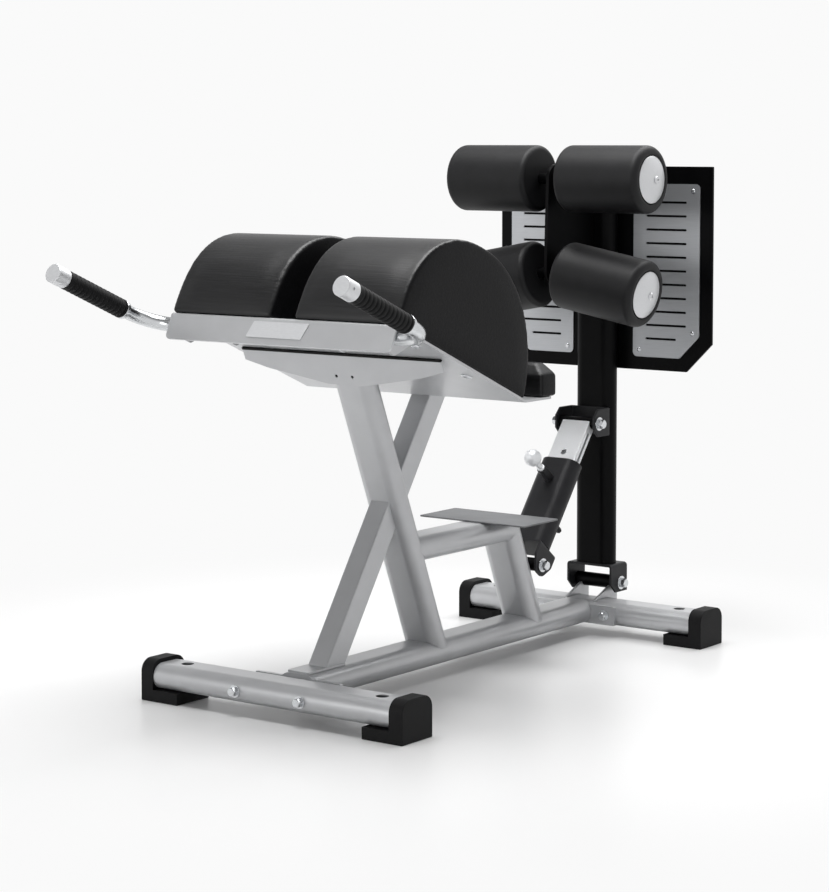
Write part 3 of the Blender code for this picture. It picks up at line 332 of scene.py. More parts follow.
def addNode(tree, kind, settings=None, links=None):
    node = tree.nodes.new("ShaderNode" + kind)
    for name, value in (settings or {}).items():
        if isinstance(name, int) or name in node.inputs:
            node.inputs[name].default_value = value
        else:
            setattr(node, name, value)
    for name, source in (links or {}).items():
        tree.links.new(source, node.inputs[name])
    return node


def startMaterial(name):
    material = bpy.data.materials.new(name)
    material.use_nodes = True
    tree = material.node_tree
    tree.nodes.clear()
    return material, tree, addNode(tree, "TexCoord").outputs["Object"]


def finishMaterial(tree, settings, links):
    shader = addNode(tree, "BsdfPrincipled", settings, links)
    addNode(tree, "OutputMaterial", None, {"Surface": shader.outputs[0]})


def shadesBetween(tree, value, low, high, start=0.35, end=0.65):
    ramp = addNode(tree, "ValToRGB", None, {"Fac": value})
    for element, position, shade in zip(ramp.color_ramp.elements, (start, end), (low, high)):
        element.position = position
        element.color = colourOf(shade)
    return ramp.outputs["Color"]


def valueBetween(tree, value, low, high, start=0.0, end=1.0, course="LINEAR"):
    # Goes from low to high as the value goes from start to end
    settings = {"From Min": start, "From Max": end, "To Min": low, "To Max": high,
                "interpolation_type": course}
    return addNode(tree, "MapRange", settings, {"Value": value}).outputs["Result"]


def noise(tree, place, millimetres, detail=3.0, roughness=0.5):
    settings = {"Scale": perMetre(millimetres), "Detail": detail, "Roughness": roughness}
    return addNode(tree, "TexNoise", settings, {"Vector": place}).outputs["Fac"]


def relief(tree, height, strength, distance, under=None):
    links = {"Height": height, **({"Normal": under} if under else {})}
    return addNode(tree, "Bump", {"Strength": strength, "Distance": distance}, links).outputs["Normal"]


def makeGrained(name, shades, roughness, settings, cloudMm, grainMm, detail, strength, height, broken=0.5):
    # Broad clouds of colour under a fine grain that sets the gloss and the relief
    material, tree, place = startMaterial(name)
    cloud = noise(tree, place, cloudMm)
    grain = noise(tree, place, grainMm, detail, broken)
    finishMaterial(tree, settings, {
        "Base Color": shadesBetween(tree, cloud, *shades),
        "Roughness": valueBetween(tree, grain, *roughness),
        "Normal": relief(tree, grain, strength, height)})
    return material


def makePowderCoat(name, shades, roughness, peelMm, peelHeight, gloss):
    # Coloured powder coat on steel: the peel size sets how fine or grainy the surface looks
    return makeGrained(name, shades, (roughness - 0.05, roughness + 0.05),
                       {"IOR": 1.5, "Specular IOR Level": gloss},
                       cloudMm=80, grainMm=peelMm, detail=3.0, strength=0.5, height=peelHeight)


def makeMouldedRubber(name, shades, grainMm):
    # Moulded natural rubber: matt, with the fine matt grain of the mould and a weak skin sheen
    return makeGrained(name, shades, (0.48, 0.62), {"IOR": 1.52, "Specular IOR Level": 0.14},
                       cloudMm=45, grainMm=grainMm, detail=4.0, strength=0.5, height=0.0001)


def makeBrightMetal(name, shades, roughness, lineMm, stretch, lineHeight, metallic=1.0):
    # Plated or polished metal whose fine polishing lines run across the stretched axis. A metallic
    # share below 1 stands for the milky look of satin plating.
    material, tree, place = startMaterial(name)
    mapped = addNode(tree, "Mapping", {"Scale": stretch}, {"Vector": place})
    lines = noise(tree, mapped.outputs["Vector"], lineMm)
    finishMaterial(tree, {"Metallic": metallic}, {
        "Base Color": shadesBetween(tree, lines, *shades, 0.2, 0.8),
        "Roughness": valueBetween(tree, lines, roughness - 0.04, roughness + 0.06),
        "Normal": relief(tree, lines, 0.3, lineHeight)})
    return material


vinylCover = {"shades": ("#0b0b0c", "#141416"), "grainMm": 2.6, "grainWidth": 0.18, "grainRelief": 0.22,
              "grainHeight": 0.00016, "streakMm": 5.0, "streakStretch": 26, "streakRelief": 0.9,
              "streakHeight": 0.00055, "roughness": (0.32, 0.48), "topGloss": 0.38, "sideGloss": 0.10}


def makeUpholsteryVinyl():
    # Expanded PVC upholstery with an embossed leather grain, drawn tight along the machine's width,
    # so fine level streaks catch the light on top, while the flat side panels stay dull.
    # The grain is drawn coarser than the real 1 mm to show.
    s = vinylCover
    material, tree, place = startMaterial("upholstery_vinyl")
    cells = addNode(tree, "TexVoronoi", {"Scale": perMetre(s["grainMm"]), "feature": "DISTANCE_TO_EDGE"},
                    {"Vector": place})
    grain = valueBetween(tree, cells.outputs["Distance"], 0.0, 1.0, 0.0, s["grainWidth"])
    stretch = addNode(tree, "Mapping", {"Scale": (1 / s["streakStretch"], 1, 1)}, {"Vector": place})
    streak = noise(tree, stretch.outputs["Vector"], s["streakMm"], 4.0, 0.6)
    embossed = relief(tree, grain, s["grainRelief"], s["grainHeight"])
    facing = addNode(tree, "SeparateXYZ", None, {"Vector": addNode(tree, "TexCoord").outputs["Normal"]})
    sideways = addNode(tree, "Math", {"operation": "ABSOLUTE"}, {0: facing.outputs["X"]})
    gloss = valueBetween(tree, sideways.outputs[0], s["topGloss"], s["sideGloss"], 0.6, 0.9)
    finishMaterial(tree, {"IOR": 1.5}, {
        "Base Color": shadesBetween(tree, streak, *s["shades"], 0.3, 0.7),
        "Roughness": valueBetween(tree, streak, *s["roughness"]),
        "Specular IOR Level": gloss,
        "Normal": relief(tree, streak, s["streakRelief"], s["streakHeight"], embossed)})
    return material


# Silver polyester powder coat baked on steel tube: satin, faintly pebbled, with soft broad highlights
silverPaint = makeGrained("silver_powder_coat", ("#bebfc1", "#c2c3c5"), (0.28, 0.36), {"Metallic": 0.45},
                          cloudMm=60, grainMm=3.0, detail=2.0, strength=0.35, height=0.00005)
# Smooth satin black: keeps a soft sheen on corners
blackPaint = makePowderCoat("black_powder_coat", ("#070708", "#0a0a0b"), 0.34, 3.0, 0.00005, 0.07)
# Satin graphite of the strut and the brackets: a shade lighter, so folded faces read apart
graphitePaint = makePowderCoat("graphite_powder_coat", ("#29292b", "#2f2f31"), 0.38, 3.0, 0.00005, 0.15)
# Fine-textured charcoal: grainy and dull, as a standing plate needs
charcoalPaint = makePowderCoat("charcoal_textured_coat", ("#6c6d6f", "#767779"), 0.50, 2.4, 0.00016, 0.4)
footRubber = makeMouldedRubber("foot_rubber", ("#0d0d0e", "#121213"), 2.4)
gripRubber = makeMouldedRubber("grip_rubber", ("#111112", "#171718"), 2.0)
# Near-black: real for the gusset plugs, and painted shadow in the strip on the gusset's top edge
shadowStripAndPlugBlack = makeMouldedRubber("shadow_strip_and_plug_black", ("#030303", "#050505"), 2.0)
padVinyl = makeUpholsteryVinyl()
# Closed-cell nitrile foam sleeve with a moulded skin: matt dark grey with fine pores
foamSkin = makeGrained("roller_foam", ("#0c0c0e", "#121214"), (0.46, 0.60),
                       {"IOR": 1.48, "Specular IOR Level": 0.30},
                       cloudMm=50, grainMm=2.2, detail=4.0, strength=0.6, height=0.00018, broken=0.65)
# Bright zinc and chrome: near mirror with a slight haze
boltPlating = makeBrightMetal("bright_zinc_plating", ("#c9cbce", "#dcdee0"), 0.20, 3.0, (1, 1, 1), 0.00003)
tubeChrome = makeBrightMetal("satin_chrome_tube", ("#c4c6c8", "#d2d4d6"), 0.20, 2.5, (1, 0.1, 1), 0.00003)
# Dull bright zinc of the telescoping tube and its ball: pale and even
satinZinc = makeBrightMetal("satin_zinc_plating", ("#eceef0", "#f2f3f5"), 0.40, 2.5, (1, 0.2, 1), 0.00003,
                            0.35)
# Turned aluminium: soft grey-white face
turnedAluminium = makeBrightMetal("turned_aluminium", ("#d2d3d5", "#dcdddf"), 0.44, 2.0, (0.2, 1, 1),
                                  0.00003, 0.7)
# Brushed sheet with level lines: reflections smear up and down
brushedSheet = makeBrightMetal("brushed_aluminium_sheet", ("#adafb2", "#bbbdc0"), 0.42, 1.2, (0.02, 1, 1),
                               0.00002, 0.75)
print("finishes made")


# Places on the sloped seat and the leaning legs

leanTurn = math.radians(machine["lean"])
leanWay = Vector((0, -math.sin(leanTurn), math.cos(leanTurn)))
seatTurn = math.radians(machine["seatSlope"])
seatBackWay = Vector((0, math.cos(seatTurn), -math.sin(seatTurn)))
seatUpWay = Vector((0, math.sin(seatTurn), math.cos(seatTurn)))
foldY = machine["seatY"] + machine["rearFlangeDrop"] / math.tan(seatTurn)
beamZ = machine["soleHeight"] + machine["tubeDepth"] / 2
spineStart = Vector((0, machine["spineY"], beamZ + machine["spineRise"]))
spineEnd = spineStart + yWay * machine["spineLength"]
spineTop = spineStart.z + machine["tubeDepth"] / 2


def seatPoint(x, along, up):
    return Vector((x, machine["seatY"], machine["seatZ"])) + along * seatBackWay + up * seatUpWay


def legPoint(height, footY=machine["legFootY"]):
    return Vector((0, footY - math.tan(leanTurn) * (height - spineTop), height))


# Bolts

hexShape = {"shank": 0.006, "sunk": 0.002, "stub": 0.004, "stubShare": 0.9, "seating": 0.0002,
            "washer": 0.003, "washerEdge": 0.0006, "crownTop": 0.46, "crownSide": 0.60, "shoulder": 0.78}


def hexBolt(name, start, end, flats, headHeight, washer):
    # A hex bolt through everything between start and end: flanged head, washers and a nut with a stub
    h = hexShape
    way = (end - start).normalized()
    pieces = [bar("shank", [circleLoop(h["shank"], 32)], start - way * h["sunk"],
                  end + way * (h["stub"] + headHeight * h["stubShare"]))]
    for point, out in ((start, -way), (end, way)):
        base = point + out * h["washer"]
        ring = bar("washer", [circleLoop(washer, 48)], point + out * h["seating"], base)
        softenEdges(ring, h["washerEdge"])
        head = bar("head", [hexLoop(flats, 12)], base, point + out * (h["washer"] + headHeight))
        side = flats * h["crownSide"]
        crown = turned("crown", [(0, headHeight), (flats * h["crownTop"], headHeight),
                                 (side, headHeight * h["shoulder"]), (side, 0), (0, 0)],
                       placeFacing(base, out), 48)
        combine(head, crown, "INTERSECT")
        pieces += [ring, head]
    return joined(name, pieces)


def domeBolt(name, base, out, radius, height, washer):
    # A button head on a thin washer
    washerTop = 0.0012
    profile = [(radius * x, height * y) for x, y in arc(1, 90, 0, 8)[:-1]]
    profile += [(radius, washerTop), (washer, washerTop), (washer, 0), (0, 0)]
    return turned(name, profile, placeFacing(base, out), 40)


# Floor frame

foot = {"length": 0.112, "depth": 0.112, "soleHeight": 0.0277, "capThickness": 0.0367, "capHeight": 0.0975,
        "corner": 0.030, "soleCorner": 0.002, "edge": 0.005}


def makeFoot(name, side, middleY):
    # A rubber shoe: a sole under the beam's end and a cap beside it, with soft moulded edges
    f = foot
    half, height = f["depth"] / 2, f["capHeight"]
    outline = roundCorners([(half, 0), (half, height), (-half, height), (-half, 0)],
                           [f["soleCorner"], f["corner"], f["corner"], f["soleCorner"]])
    beamEnd = machine["beamLength"] / 2 + clearance
    middle = Vector((side * (beamEnd + f["capThickness"] - f["length"] / 2), middleY, 0))
    piece = prism(name, [outline], f["length"], placeAt(middle, yWay, zWay))
    softenEdges(piece, f["edge"], 4, 50)
    bake(piece)
    seat = Vector((side * (beamEnd - height / 2), middleY, f["soleHeight"] + height / 2))
    combine(piece, block("seat", (height, 2 * f["depth"], height), Matrix.Translation(seat)))
    keepPiece(piece, footRubber, "frame", name, slot="rubber")


beam = {"anchorOffset": 0.286, "anchorRadius": 0.015, "boltOffset": 0.095, "boltFlats": 0.019,
        "boltHeight": 0.0125, "washer": 0.0145, "plateThickness": 0.010}


def tubeBetween(name, start, end):
    return bar(name, [flatOvalLoop(), flatOvalLoop(-machine["tubeWall"])], start, end)


def keepTube(piece, node):
    keepPiece(piece, silverPaint, "frame", node, slot="silver_paint")


def makeBeam(name, middleY):
    middle = Vector((0, middleY, beamZ))
    half = xWay * machine["beamLength"] / 2
    piece = tubeBetween(name, middle - half, middle + half)
    for side in (1, -1):
        anchor = Vector((side * beam["anchorOffset"], middleY, beamZ))
        drill(piece, anchor, anchor + zWay * machine["tubeDepth"], beam["anchorRadius"], 48)
    keepTube(piece, name)


def makeBeamBolt(name, side, beamY, inward):
    start = Vector((side * beam["boltOffset"], beamY - inward * machine["tubeWidth"] / 2, beamZ))
    finish = start + yWay * inward * (machine["tubeWidth"] + beam["plateThickness"] + 2 * clearance)
    bolt = hexBolt("fine_" + name, start, finish, beam["boltFlats"], beam["boltHeight"], beam["washer"])
    keepPiece(bolt, boltPlating, "frame", name, slot="plated_steel")


for sideName, side in sides:
    makeFoot("front_foot_" + sideName, side, machine["frontBeamY"])
    makeFoot("rear_foot_" + sideName, side, machine["rearBeamY"])
    makeBeamBolt("front_bolt_" + sideName, side, machine["frontBeamY"], 1)
    makeBeamBolt("rear_bolt_" + sideName, side, machine["rearBeamY"], -1)
makeBeam("front_beam", machine["frontBeamY"])
makeBeam("rear_beam", machine["rearBeamY"])
refined("front_end_plate", silverPaint, "frame", 0.0015)
refined("rear_end_plate", silverPaint, "frame", 0.0015)
print("floor frame made")


# Legs

leg = {"saddleDrop": 0.018, "saddleOverrun": 0.03, "notchReach": 0.2,
       "braceWidth": 0.056, "braceDepth": 0.060, "braceEdge": 0.004, "braceInnerEdge": 0.001,
       "braceFlangeShare": 0.62, "baseWidth": 0.062, "baseThickness": 0.005, "baseFront": 0.112}


def saddle(piece, footY):
    # Cuts the lower end of a leg to sit astride the spine
    cutBeyond(piece, Vector((0, footY, spineTop - leg["saddleDrop"])), -zWay)
    combine(piece, bar("saddle", [flatOvalLoop(clearance)], spineStart, spineEnd))


def notch(piece, point):
    # Cuts a piece to fit round the main leg, which passes through a point
    reach = leanWay * leg["notchReach"]
    combine(piece, bar("notch", [flatOvalLoop(clearance)], point - reach, point + reach))


def makeMainLeg():
    keepTube(tubeBetween("fine_spine", spineStart, spineEnd), "spine")
    overSeat = machine["seatZ"] + machine["tubeWidth"]
    main = tubeBetween("fine_leg_a", legPoint(spineStart.z), legPoint(overSeat))
    saddle(main, machine["legFootY"])
    cutBeyond(main, seatPoint(0, 0, -machine["sheet"] - clearance), seatUpWay)
    keepTube(main, "leg_a")


def makeBrace():
    # A box tube from the spine to the seat's rear flange, in two halves that meet the main leg
    low = Vector((0, machine["braceFootY"], spineTop))
    high = Vector((0, foldY + leg["braceFlangeShare"] * machine["rearFlangeDepth"],
                   machine["seatZ"] - machine["rearFlangeDrop"] - machine["sheet"]))
    way = (high - low).normalized()
    offset = legPoint(spineTop) - low
    crossing = low + (way * (offset.y * leanWay.z - offset.z * leanWay.y)
                      / (way.y * leanWay.z - way.z * leanWay.y))
    width, depth, wall = leg["braceWidth"], leg["braceDepth"], machine["tubeWall"]
    loops = [boxLoop(width, depth, leg["braceEdge"], 15),
             boxLoop(width - 2 * wall, depth - 2 * wall, leg["braceInnerEdge"], 45)]
    lower = bar("fine_leg_b_lower", loops, low - way * depth, crossing)
    cutBeyond(lower, low + zWay * clearance, -zWay)
    baseRear = machine["braceFootY"] + depth / 2 / way.z
    baseLoop = boxLoop(leg["baseWidth"], baseRear - leg["baseFront"], leg["braceEdge"], 15)
    middle = Vector((0, (leg["baseFront"] + baseRear) / 2, spineTop + clearance + leg["baseThickness"] / 2))
    base = prism("base", [baseLoop], leg["baseThickness"], Matrix.Translation(middle))
    combine(lower, base, "UNION")
    upper = bar("fine_leg_b_upper", loops, crossing, high + way * depth)
    cutBeyond(upper, high - zWay * clearance, zWay)
    for piece, node in ((lower, "leg_b_lower"), (upper, "leg_b_upper")):
        notch(piece, crossing)
        keepTube(piece, node)


def makeRearLeg():
    # A level tube from the main leg, mitred into the rear leg
    corner = legPoint(machine["crossHeight"], machine["rearLegFootY"])
    mitre = (leanWay - yWay).normalized()
    start = legPoint(machine["crossHeight"])
    cross = tubeBetween("fine_cross_tube", start, corner + yWay * machine["tubeDepth"])
    notch(cross, start)
    cutBeyond(cross, corner + mitre * clearance / 2, -mitre)
    keepTube(cross, "cross_tube")
    rear = tubeBetween("fine_rear_leg",
                       legPoint(spineTop, machine["rearLegFootY"]) - leanWay * leg["saddleOverrun"],
                       corner + leanWay * machine["tubeDepth"])
    saddle(rear, machine["rearLegFootY"])
    cutBeyond(rear, corner - mitre * clearance / 2, mitre)
    keepTube(rear, "rear_leg")


makeMainLeg()
makeBrace()
makeRearLeg()
refined("step_plate", charcoalPaint, "frame", 0.0012)
print("legs made")


# Seat

refined("seat_plate", silverPaint, "frame", 0.0010)
refined("gusset", silverPaint, "frame", 0.0010)
refined("badge", turnedAluminium, "frame", 0.0004)

seatFixingAndShadowStrip = {"underBoltX": 0.283, "underBoltAlong": (0.035, -0.18), "domeRadius": 0.011,
              "domeHeight": 0.006, "washer": 0.014, "seating": 0.0001,
              "stripHalfWidth": 0.292, "stripGap": 0.0025, "stripOverrun": 0.003, "stripThickness": 0.008,
              "plugDrop": 0.0545, "plugOffset": 0.0233, "plugRadius": 0.0038, "plugDepth": 0.0050}


def makeSeatFixingsAndShadowStrip():
    s = seatFixingAndShadowStrip
    bolts = []
    for x in (-s["underBoltX"], s["underBoltX"]):
        for along in s["underBoltAlong"]:
            base = seatPoint(x, along, -machine["sheet"] - s["seating"])
            bolts.append(domeBolt("bolt", base, -seatUpWay, s["domeRadius"], s["domeHeight"], s["washer"]))
    keepPiece(joined("seat_button_bolts", bolts), boltPlating, "frame", slot="plated_steel")
    # A near-black strip on the front of the gusset's top edge, up against the seat plate, is painted shadow
    # for the dark gap between the gusset and the seat plate
    faceWay = xWay.cross(leanWay)
    face = legPoint(spineTop) + faceWay * (machine["tubeDepth"] / 2 + clearance)
    underside = seatPoint(0, 0, -machine["sheet"])
    rise = (underside - face).dot(seatUpWay) / leanWay.dot(seatUpWay)
    low, high = rise - s["stripGap"] + s["seating"], rise + s["stripOverrun"]
    middle = face + faceWay * s["stripThickness"] / 2 + leanWay * (low + high) / 2
    strip = block("gusset_shadow_strip", (2 * s["stripHalfWidth"], s["stripThickness"], high - low),
                  placeAt(middle, xWay, leanWay.cross(xWay)))
    cutBeyond(strip, underside - seatUpWay * s["seating"], seatUpWay)
    keepPiece(strip, shadowStripAndPlugBlack, "frame", slot="rubber")
    # Black plugs sit in the two holes of the gusset
    seat = face + leanWay * (rise - s["stripGap"] - s["plugDrop"])
    plugs = []
    for x in (-s["plugOffset"], s["plugOffset"]):
        base = seat + xWay * x
        plugs.append(bar("plug", [circleLoop(s["plugRadius"])], base, base + faceWay * s["plugDepth"]))
    keepPiece(joined("gusset_plugs", plugs), shadowStripAndPlugBlack, "frame", slot="rubber")


makeSeatFixingsAndShadowStrip()
print("seat plate made")


# Pads

filling = {"pressure": 4.0, "frames": 20, "heldShare": 0.7, "rounds": 40}


def superCircle(turn, exponent):
    power = 2 / exponent
    return math.copysign(abs(math.cos(turn)) ** power, math.cos(turn)), max(0.0, math.sin(turn)) ** power


def evened(moves, pairs, still):
    # Spreads moves over neighbouring points, so that a filled cover stays free of creases
    for _ in range(filling["rounds"]):
        totals = [move.copy() for move in moves]
        counts = [1] * len(moves)
        for a, b in pairs:
            totals[a] += moves[b]
            totals[b] += moves[a]
            counts[a] += 1
            counts[b] += 1
        moves = [total / count for total, count in zip(totals, counts)]
        for i in still:
            moves[i] = Vector()
    return moves


def puffed(piece, s, heightOver):
    # Fills a cushion by a short cloth simulation and holds every point within a small cap
    bake(piece)
    cover = piece.modifiers.new("even", "REMESH")
    cover.mode = "VOXEL"
    cover.voxel_size = s["voxel"]
    bake(piece)
    start = [v.co.copy() for v in piece.data.vertices]
    still = [v.index for v in piece.data.vertices if heightOver(v.co) < s["voxel"] * filling["heldShare"]]
    held = piece.vertex_groups.new(name="held")
    held.add(still, 1.0, "REPLACE")
    cloth = piece.modifiers.new("filling", "CLOTH")
    cloth.settings.use_pressure = True
    cloth.settings.uniform_pressure_force = filling["pressure"]
    cloth.settings.effector_weights.gravity = 0
    cloth.settings.vertex_group_mass = "held"
    cloth.point_cache.frame_start = 1
    cloth.point_cache.frame_end = filling["frames"]
    scene = bpy.context.scene
    for number in range(filling["frames"]):
        scene.frame_set(number + 1)
    bake(piece)
    scene.frame_set(1)
    moves = [vertex.co - first for vertex, first in zip(piece.data.vertices, start)]
    moves = [move * s["cap"] / max(move.length, s["cap"]) for move in moves]
    moves = evened(moves, [tuple(edge.vertices) for edge in piece.data.edges], still)
    for vertex, first, move in zip(piece.data.vertices, start, moves):
        vertex.co = first + move
    piece.vertex_groups.clear()
    even = piece.modifiers.new("even edges", "SMOOTH")
    even.factor = 0.5
    even.iterations = s["smoothing"]
    smooth = piece.modifiers.new("finer", "SUBSURF")
    smooth.levels = 1
    smooth.render_levels = 1
    bake(piece)


def keepPad(piece, node):
    keepPiece(piece, padVinyl, "frame", node, slot="vinyl", smoothAngle=80)


pad = {"halfLength": 0.271, "height": 0.275, "centre": -0.050, "inner": 0.032, "outer": 0.331,
       "frontExponent": 2.4, "rearExponent": 2.0, "inset": 0.003, "steps": 72, "edge": 0.0045,
       "voxel": 0.005, "smoothing": 4, "cap": 0.003}


def makePads():
    p = pad
    outline = []
    for i in range(p["steps"] + 1):
        turn = math.pi * i / p["steps"]
        along, up = superCircle(turn, p["rearExponent"] if turn <= math.pi / 2 else p["frontExponent"])
        outline.append((p["centre"] + (p["halfLength"] - p["inset"]) * along,
                        clearance + (p["height"] - p["inset"]) * up))
    width = p["outer"] - p["inner"] - 2 * p["inset"]
    middle = seatPoint((p["inner"] + p["outer"]) / 2, 0, 0)
    right = prism("pad_right_cover", [outline], width, placeAt(middle, seatBackWay, seatUpWay))
    softenEdges(right, p["edge"], 3)
    base = seatPoint(0, 0, 0)
    puffed(right, p, lambda point: (point - base).dot(seatUpWay))
    left = linked("pad_left_cover", right.data.copy())
    left.data.transform(Matrix.Scale(-1, 4, xWay))
    left.data.flip_normals()
    keepPad(right, "pad_right")
    keepPad(left, "pad_left")


kneePad = {"halfWidth": 0.331, "depth": 0.066, "offset": 0.021, "sideHeight": 0.0527, "height": 0.0827,
           "endChamfer": 0.026, "sideChamfer": 0.017, "inset": 0.0020, "edge": 0.003,
           "voxel": 0.004, "smoothing": 3, "cap": 0.0025}


def makeKneePad():
    k = kneePad
    shape = bmesh.new()
    bmesh.ops.create_cube(shape, size=1)
    bmesh.ops.translate(shape, vec=(0, 0, 0.5), verts=shape.verts)
    size = (2 * (k["halfWidth"] - k["inset"]), k["depth"] - 2 * k["inset"], k["sideHeight"])
    bmesh.ops.scale(shape, vec=size, verts=shape.verts)
    lid = [face for face in shape.faces if face.normal.z > 0.5]
    raised = bmesh.ops.extrude_face_region(shape, geom=lid)
    bmesh.ops.delete(shape, geom=lid, context="FACES_ONLY")
    top = [item for item in raised["geom"] if isinstance(item, bmesh.types.BMVert)]
    bmesh.ops.translate(shape, vec=(0, 0, k["height"] - k["inset"] - k["sideHeight"]), verts=top)
    shrink = (1 - k["endChamfer"] / k["halfWidth"], 1 - 2 * k["sideChamfer"] / k["depth"], 1)
    bmesh.ops.scale(shape, vec=shrink, verts=top)
    rear = foldY + machine["rearFlangeDepth"] + k["offset"]
    level = machine["seatZ"] - machine["rearFlangeDrop"] + clearance
    piece = meshPiece("knee_pad_cover", shape, Matrix.Translation((0, rear - k["depth"] / 2, level)))
    softenEdges(piece, k["edge"], 3, 20)
    puffed(piece, k, lambda point: point.z - level)
    keepPad(piece, "knee_pad")


makePads()
makeKneePad()
print("pads filled")


# Handles

handle = {"radius": 0.017, "wall": 0.0025, "spread": 0.412, "bend": 0.078, "root": 0.2933, "drop": 0.0242,
          "innerEnd": 0.148, "overrun": 0.02,
          "gripRadius": 0.0225, "gripStart": 0.395, "gripEnd": 0.596, "gripRim": 0.006, "ribs": 13,
          "ribDepth": 0.0022, "ribEdge": 0.0004, "rimWidth": 0.0012, "rimHeight": 0.0015,
          "collarRadius": 0.0225, "collarEnd": 0.636, "collarBore": 0.0174, "boreDepth": 0.028,
          "collarEdge": 0.0015, "collarRim": 0.001, "screwInset": 0.016, "screwRadius": 0.0035,
          "screwDepth": 0.003,
          "ringRadius": 0.0224, "ringBore": 0.0172, "ringWidth": 0.009, "ringEdge": 0.001}


def makeHandle(sideName, side):
    # A plated tube that bends forward from behind the flange, with a ribbed rubber grip and an end cap
    h = handle

    def point(x, along):
        return seatPoint(side * x, -along, -h["drop"])

    def lathed(name, profile, along, closed=True):
        place = placeAt(point(h["spread"], along), xWay, seatUpWay)
        return turned(name + sideName, profile, place, closed=closed)

    corner = (h["spread"] - h["bend"], h["root"] + h["bend"])
    path = [point(h["innerEnd"], h["root"])]
    path += [point(x, along) for x, along in arc(h["bend"], -90, 0, 16, corner)]
    path.append(point(h["spread"], h["gripEnd"] + h["overrun"]))
    tube = rod("fine_handle_" + sideName, path, h["radius"], 48)
    overrun = [path[0] - xWay * side * h["wall"]] + path[1:-1] + [path[-1] - seatBackWay * h["wall"]]
    combine(tube, rod("hollow", overrun, h["radius"] - h["wall"], 48))
    keepPiece(tube, tubeChrome, "frame", "handle_" + sideName, slot="plated_steel")

    length = h["gripEnd"] - h["gripStart"]
    pitch = (length - 2 * h["gripRim"]) / h["ribs"]
    bore, low, high = h["radius"] + clearance, h["gripRadius"] - h["ribDepth"], h["gripRadius"]
    shoulder = high - h["ribEdge"]
    rib = ((low, 0.06), (low, 0.30), (shoulder, 0.42), (high, 0.55), (high, 0.85), (shoulder, 0.97))
    profile = [(bore, 0), (high - h["rimWidth"], 0), (high, h["rimHeight"]), (high, h["gripRim"])]
    for k in range(h["ribs"]):
        profile += [(radius, h["gripRim"] + (k + share) * pitch) for radius, share in rib]
    profile += [(high, length - h["rimHeight"]), (high - h["rimWidth"], length), (bore, length)]
    grip = lathed("fine_grip_", profile, h["gripStart"])
    keepPiece(grip, gripRubber, "frame", "grip_" + sideName, slot="rubber")

    length = h["collarEnd"] - h["gripEnd"] - clearance
    radius, edge, rim = h["collarRadius"], h["collarEdge"], h["collarRim"]
    bore, depth = h["collarBore"], h["boreDepth"]
    profile = [(0, length), (radius - edge, length), (radius, length - edge), (radius, rim),
               (radius - rim, 0), (bore, 0), (bore, depth), (0, depth)]
    cap = lathed("fine_collar_", profile, h["gripEnd"] + clearance, closed=False)
    middle = point(h["spread"], h["collarEnd"] - h["screwInset"])
    drill(cap, middle + xWay * side * (radius - h["screwDepth"]), middle + xWay * side * (radius + 0.01),
          h["screwRadius"], 24)
    keepPiece(cap, turnedAluminium, "frame", "collar_" + sideName, slot="aluminium")

    bore, radius, width, edge = h["ringBore"], h["ringRadius"], h["ringWidth"], h["ringEdge"]
    profile = [(bore, 0), (radius - edge, 0), (radius, edge), (radius, width - edge), (radius - edge, width),
               (bore, width)]
    ring = lathed("root_ring_", profile, h["gripStart"] - width - clearance)
    keepPiece(ring, tubeChrome, "frame", slot="plated_steel")


for sideName, side in sides:
    makeHandle(sideName, side)
print("handles made")


# Mast, its hinge and the foot board

mast = {"hingeY": 1.394, "hingeZ": 0.126, "lead": 0.012, "bracketTop": 0.052, "lid": 0.004, "lidEdge": 0.001,
        "hingeHalfWidth": 0.070, "pivotFlats": 0.0215, "pivotHeight": 0.0145,
        "pivotWasher": 0.018, "strutHalfWidth": 0.062, "strutLead": 0.059}
mastY = mast["hingeY"] - mast["lead"]
mastFront = mastY - machine["mastDepth"] / 2
mastRear = mastY + machine["mastDepth"] / 2


def makeMast():
    m = mast
    size = (machine["mastWidth"], machine["mastDepth"])
    start = Vector((0, mastY, m["hingeZ"] + m["bracketTop"] + clearance))
    top = Vector((0, mastY, machine["mastTop"] - m["lid"]))
    tube = bar("tube", [flatOvalLoop(0, *size), flatOvalLoop(-machine["tubeWall"], *size)], start, top)
    lid = bar("lid", [flatOvalLoop(0, *size)], top, top + zWay * m["lid"])
    softenEdges(lid, m["lidEdge"])
    keepPiece(joined("fine_mast", [tube, lid]), blackPaint, "mast", "mast", slot="black_paint")


def makePivotBolt(node, centre, halfWidth, body):
    m = mast
    half = xWay * halfWidth
    bolt = hexBolt("fine_" + node, centre - half, centre + half, m["pivotFlats"], m["pivotHeight"],
                   m["pivotWasher"])
    keepPiece(bolt, boltPlating, body, node, slot="plated_steel")


makeMast()
for node in ("hinge_bracket", "strut_bracket"):
    refined(node, graphitePaint, "mast", 0.0012)
refined("hinge_sleeve", blackPaint, "frame", 0.0008)
for sideName, side in sides:
    refined("hinge_lug_" + sideName, silverPaint, "frame", 0.0010)
strutTop = Vector((0, mastFront - mast["strutLead"], machine["strutTopZ"]))
makePivotBolt("hinge_bolt", Vector((0, mast["hingeY"], mast["hingeZ"])), mast["hingeHalfWidth"], "mast")
makePivotBolt("strut_top_bolt", strutTop, mast["strutHalfWidth"], "mast")

board = {"halfWidth": 0.332, "topDrop": 0.005, "height": 0.5395, "thickness": 0.008, "chamferX": 0.076,
         "chamferZ": 0.0755, "corner": 0.003, "edge": 0.0015}


